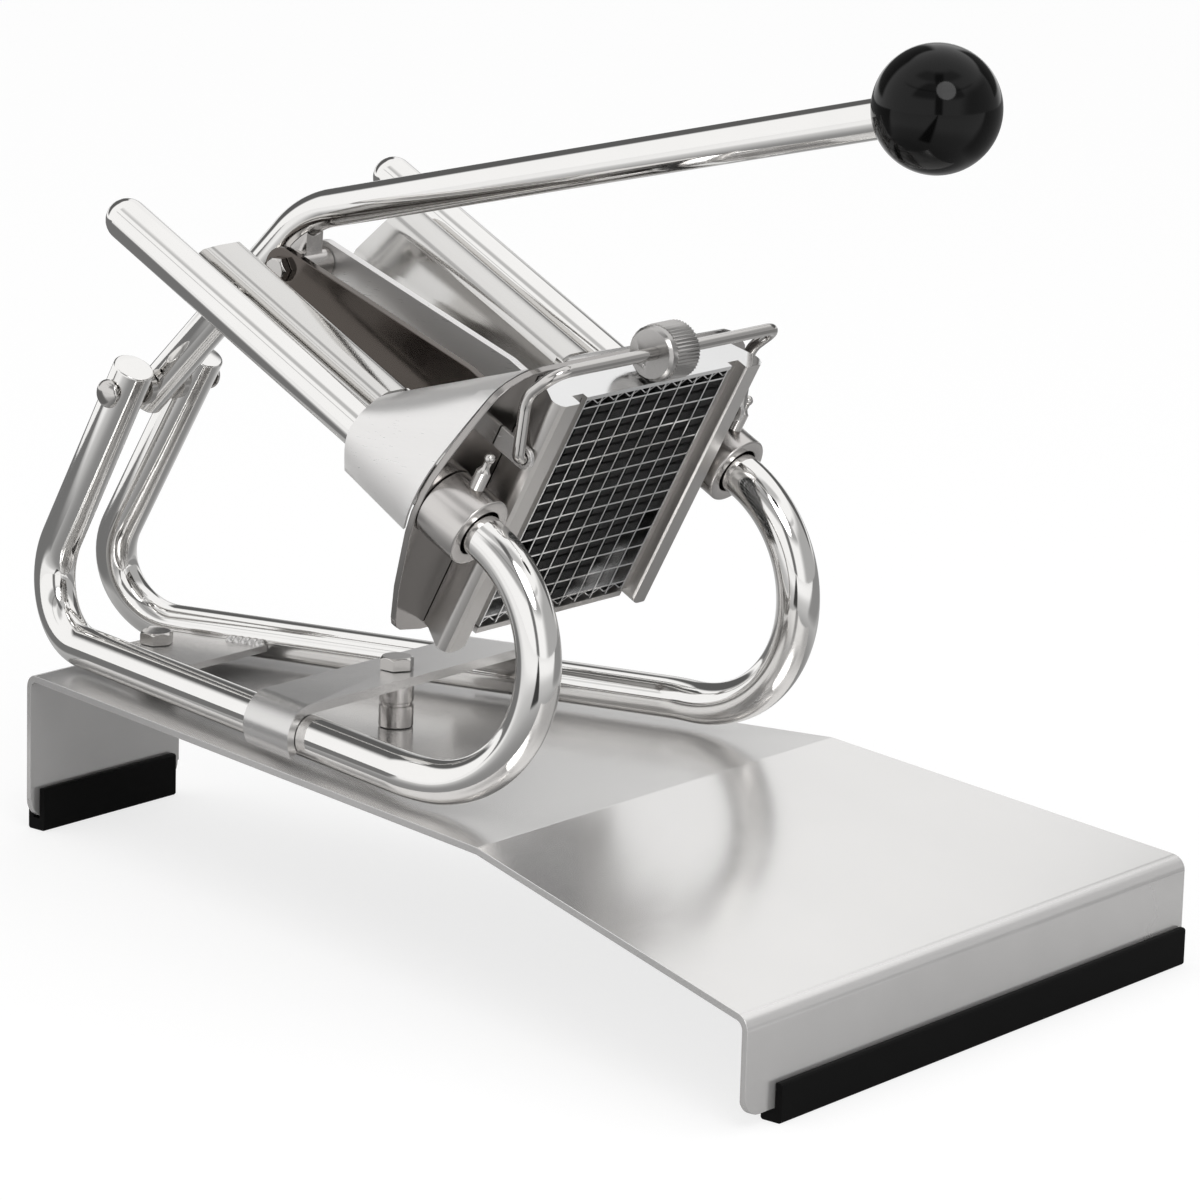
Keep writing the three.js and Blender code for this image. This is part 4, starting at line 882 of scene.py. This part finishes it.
# Painted shade that only reflections see: a painted shadow round the object, painted dark areas behind it and at
# its sides, and a painted reflection of the camera's stand before it.
painted_shadow_around = distance.until(0.20, 0.50) * 0.30 + distance.until(0.45, 0.95) * 0.45
behind = toward.until(-0.35, 0.15) * (aside.absolute().between(0.09, 0.25) * 0.5 + 0.1)
painted_shade_right = aside.between(0.15, 0.50) * toward.until(0.15, 0.38) * 0.75
painted_shade_left = (aside * -1.0).between(0.25, 0.40) * toward.until(-0.02, 0.18) * 0.85
before = aside.absolute().until(0.06, 0.13) * toward.between(0.34, 0.42)
shade = painted_shadow_around.larger(behind).larger(painted_shade_right).larger(painted_shade_left).larger(before)
reflected = paper.node("ShaderNodeLightPath", None, output="Is Glossy Ray")
# Glossy rays see the paper darkened by the painted shade, and the camera sees it evenly white.
white = 1 - shade * reflected * DARKEST
paper.feed("Base Color", white * PAPER_COLOUR)
paper.feed("Emission Color", white)
paper.shader.inputs["Emission Strength"].default_value = PAPER_GLOW

# %% Plain paper for every other ray
direct = paper.node("ShaderNodeLightPath", None, output="Is Camera Ray")
plain = paper.node("ShaderNodeBsdfDiffuse", None, Color=PLAIN_PAPER)
shown = Signal(paper, paper.shader.outputs[0])
mixed = paper.node("ShaderNodeMixShader", None, direct.larger(reflected), plain, shown)
paper.fill(paper.nodes.nodes["Material Output"].inputs["Surface"], mixed)
floor_mesh.materials.append(paper.material)
print("floor nodes:", len(paper.nodes.nodes))

# %% [markdown]
# ## The room
# Each dark area is a product of soft steps in the two directions and in height, where
# height is 0 at the horizon and 1 straight up. The camera looks at the far wall, with a
# lighter card before it, and has the back wall behind it.

# %% The room
WHITE = 1.08
FAR_WALL_DEPTH = 0.96
BACK_WALL_DEPTH = 0.65
CAMERA_GAP_DEPTH = 0.90
RIGHT_WALL_DEPTH = 0.62
SEAM_DEPTH = 0.45
CEILING_DEPTH = 0.50

world = bpy.data.worlds.new("studio")
bpy.context.scene.world = world
world.use_nodes = True
studio = Tree(world.node_tree)
east, north, height = studio.axes("Generated")
near_side, right_side = seen_from_camera(east, north)

far_top = right_side.until(0.18, 0.24) * 0.20 + 0.55
far_wall = near_side.until(-0.54, -0.40) * height.between(0.05, 0.14)
far_wall = far_wall * (height - far_top).until(-0.04, 0.04)
card_width = (right_side - 0.11).absolute().until(0.10, 0.20)
far_card = card_width * (height.between(0.22, 0.36) * 0.50 + 0.45)
back_wall = near_side.between(0.48, 0.60) * height.between(0.34, 0.48) * height.until(0.76, 0.84)
camera_gap = right_side.absolute().until(0.07, 0.16) * near_side.between(0.2, 0.4)
right_wall = right_side.between(0.55, 0.85) * height.until(0.45, 0.65)
seam = near_side.between(0.0, 0.3) * height.between(0.590, 0.605) * height.until(0.630, 0.650)
ceiling = near_side.between(0.05, 0.25) * height.between(0.78, 0.86) * height.until(0.93, 0.985)

gaps = (far_wall * (1 - far_card) * FAR_WALL_DEPTH).larger(back_wall * BACK_WALL_DEPTH)
gaps = gaps.larger(camera_gap * CAMERA_GAP_DEPTH).larger(right_wall * RIGHT_WALL_DEPTH)
lines = seam * SEAM_DEPTH * (1 - gaps)
glow = WHITE - gaps - lines - ceiling * CEILING_DEPTH * (1 - gaps)
background = studio.nodes.nodes["Background"]
studio.fill(background.inputs["Color"], glow)
background.inputs["Strength"].default_value = 1.0
print("room nodes:", len(studio.nodes.nodes))

# %% [markdown]
# One large soft lamp high on the right gives the shadows a direction.

# %% The lamp
LAMP_PLACE = Vector((1.7, -1.1, 1.9))
LAMP_SIZE = 1.4
LAMP_POWER = 18.0
lamp_data = bpy.data.lights.new("soft lamp", "AREA")
lamp_data.shape = "DISK"
lamp_data.size = LAMP_SIZE
lamp_data.energy = LAMP_POWER
lamp = bpy.data.objects.new("soft lamp", lamp_data)
aim = LAMP_PLACE.to_track_quat("Z", "Y").to_matrix().to_4x4()
lamp.matrix_world = Matrix.Translation(LAMP_PLACE) @ aim
bpy.context.scene.collection.objects.link(lamp)
print("lamp at", list(LAMP_PLACE))
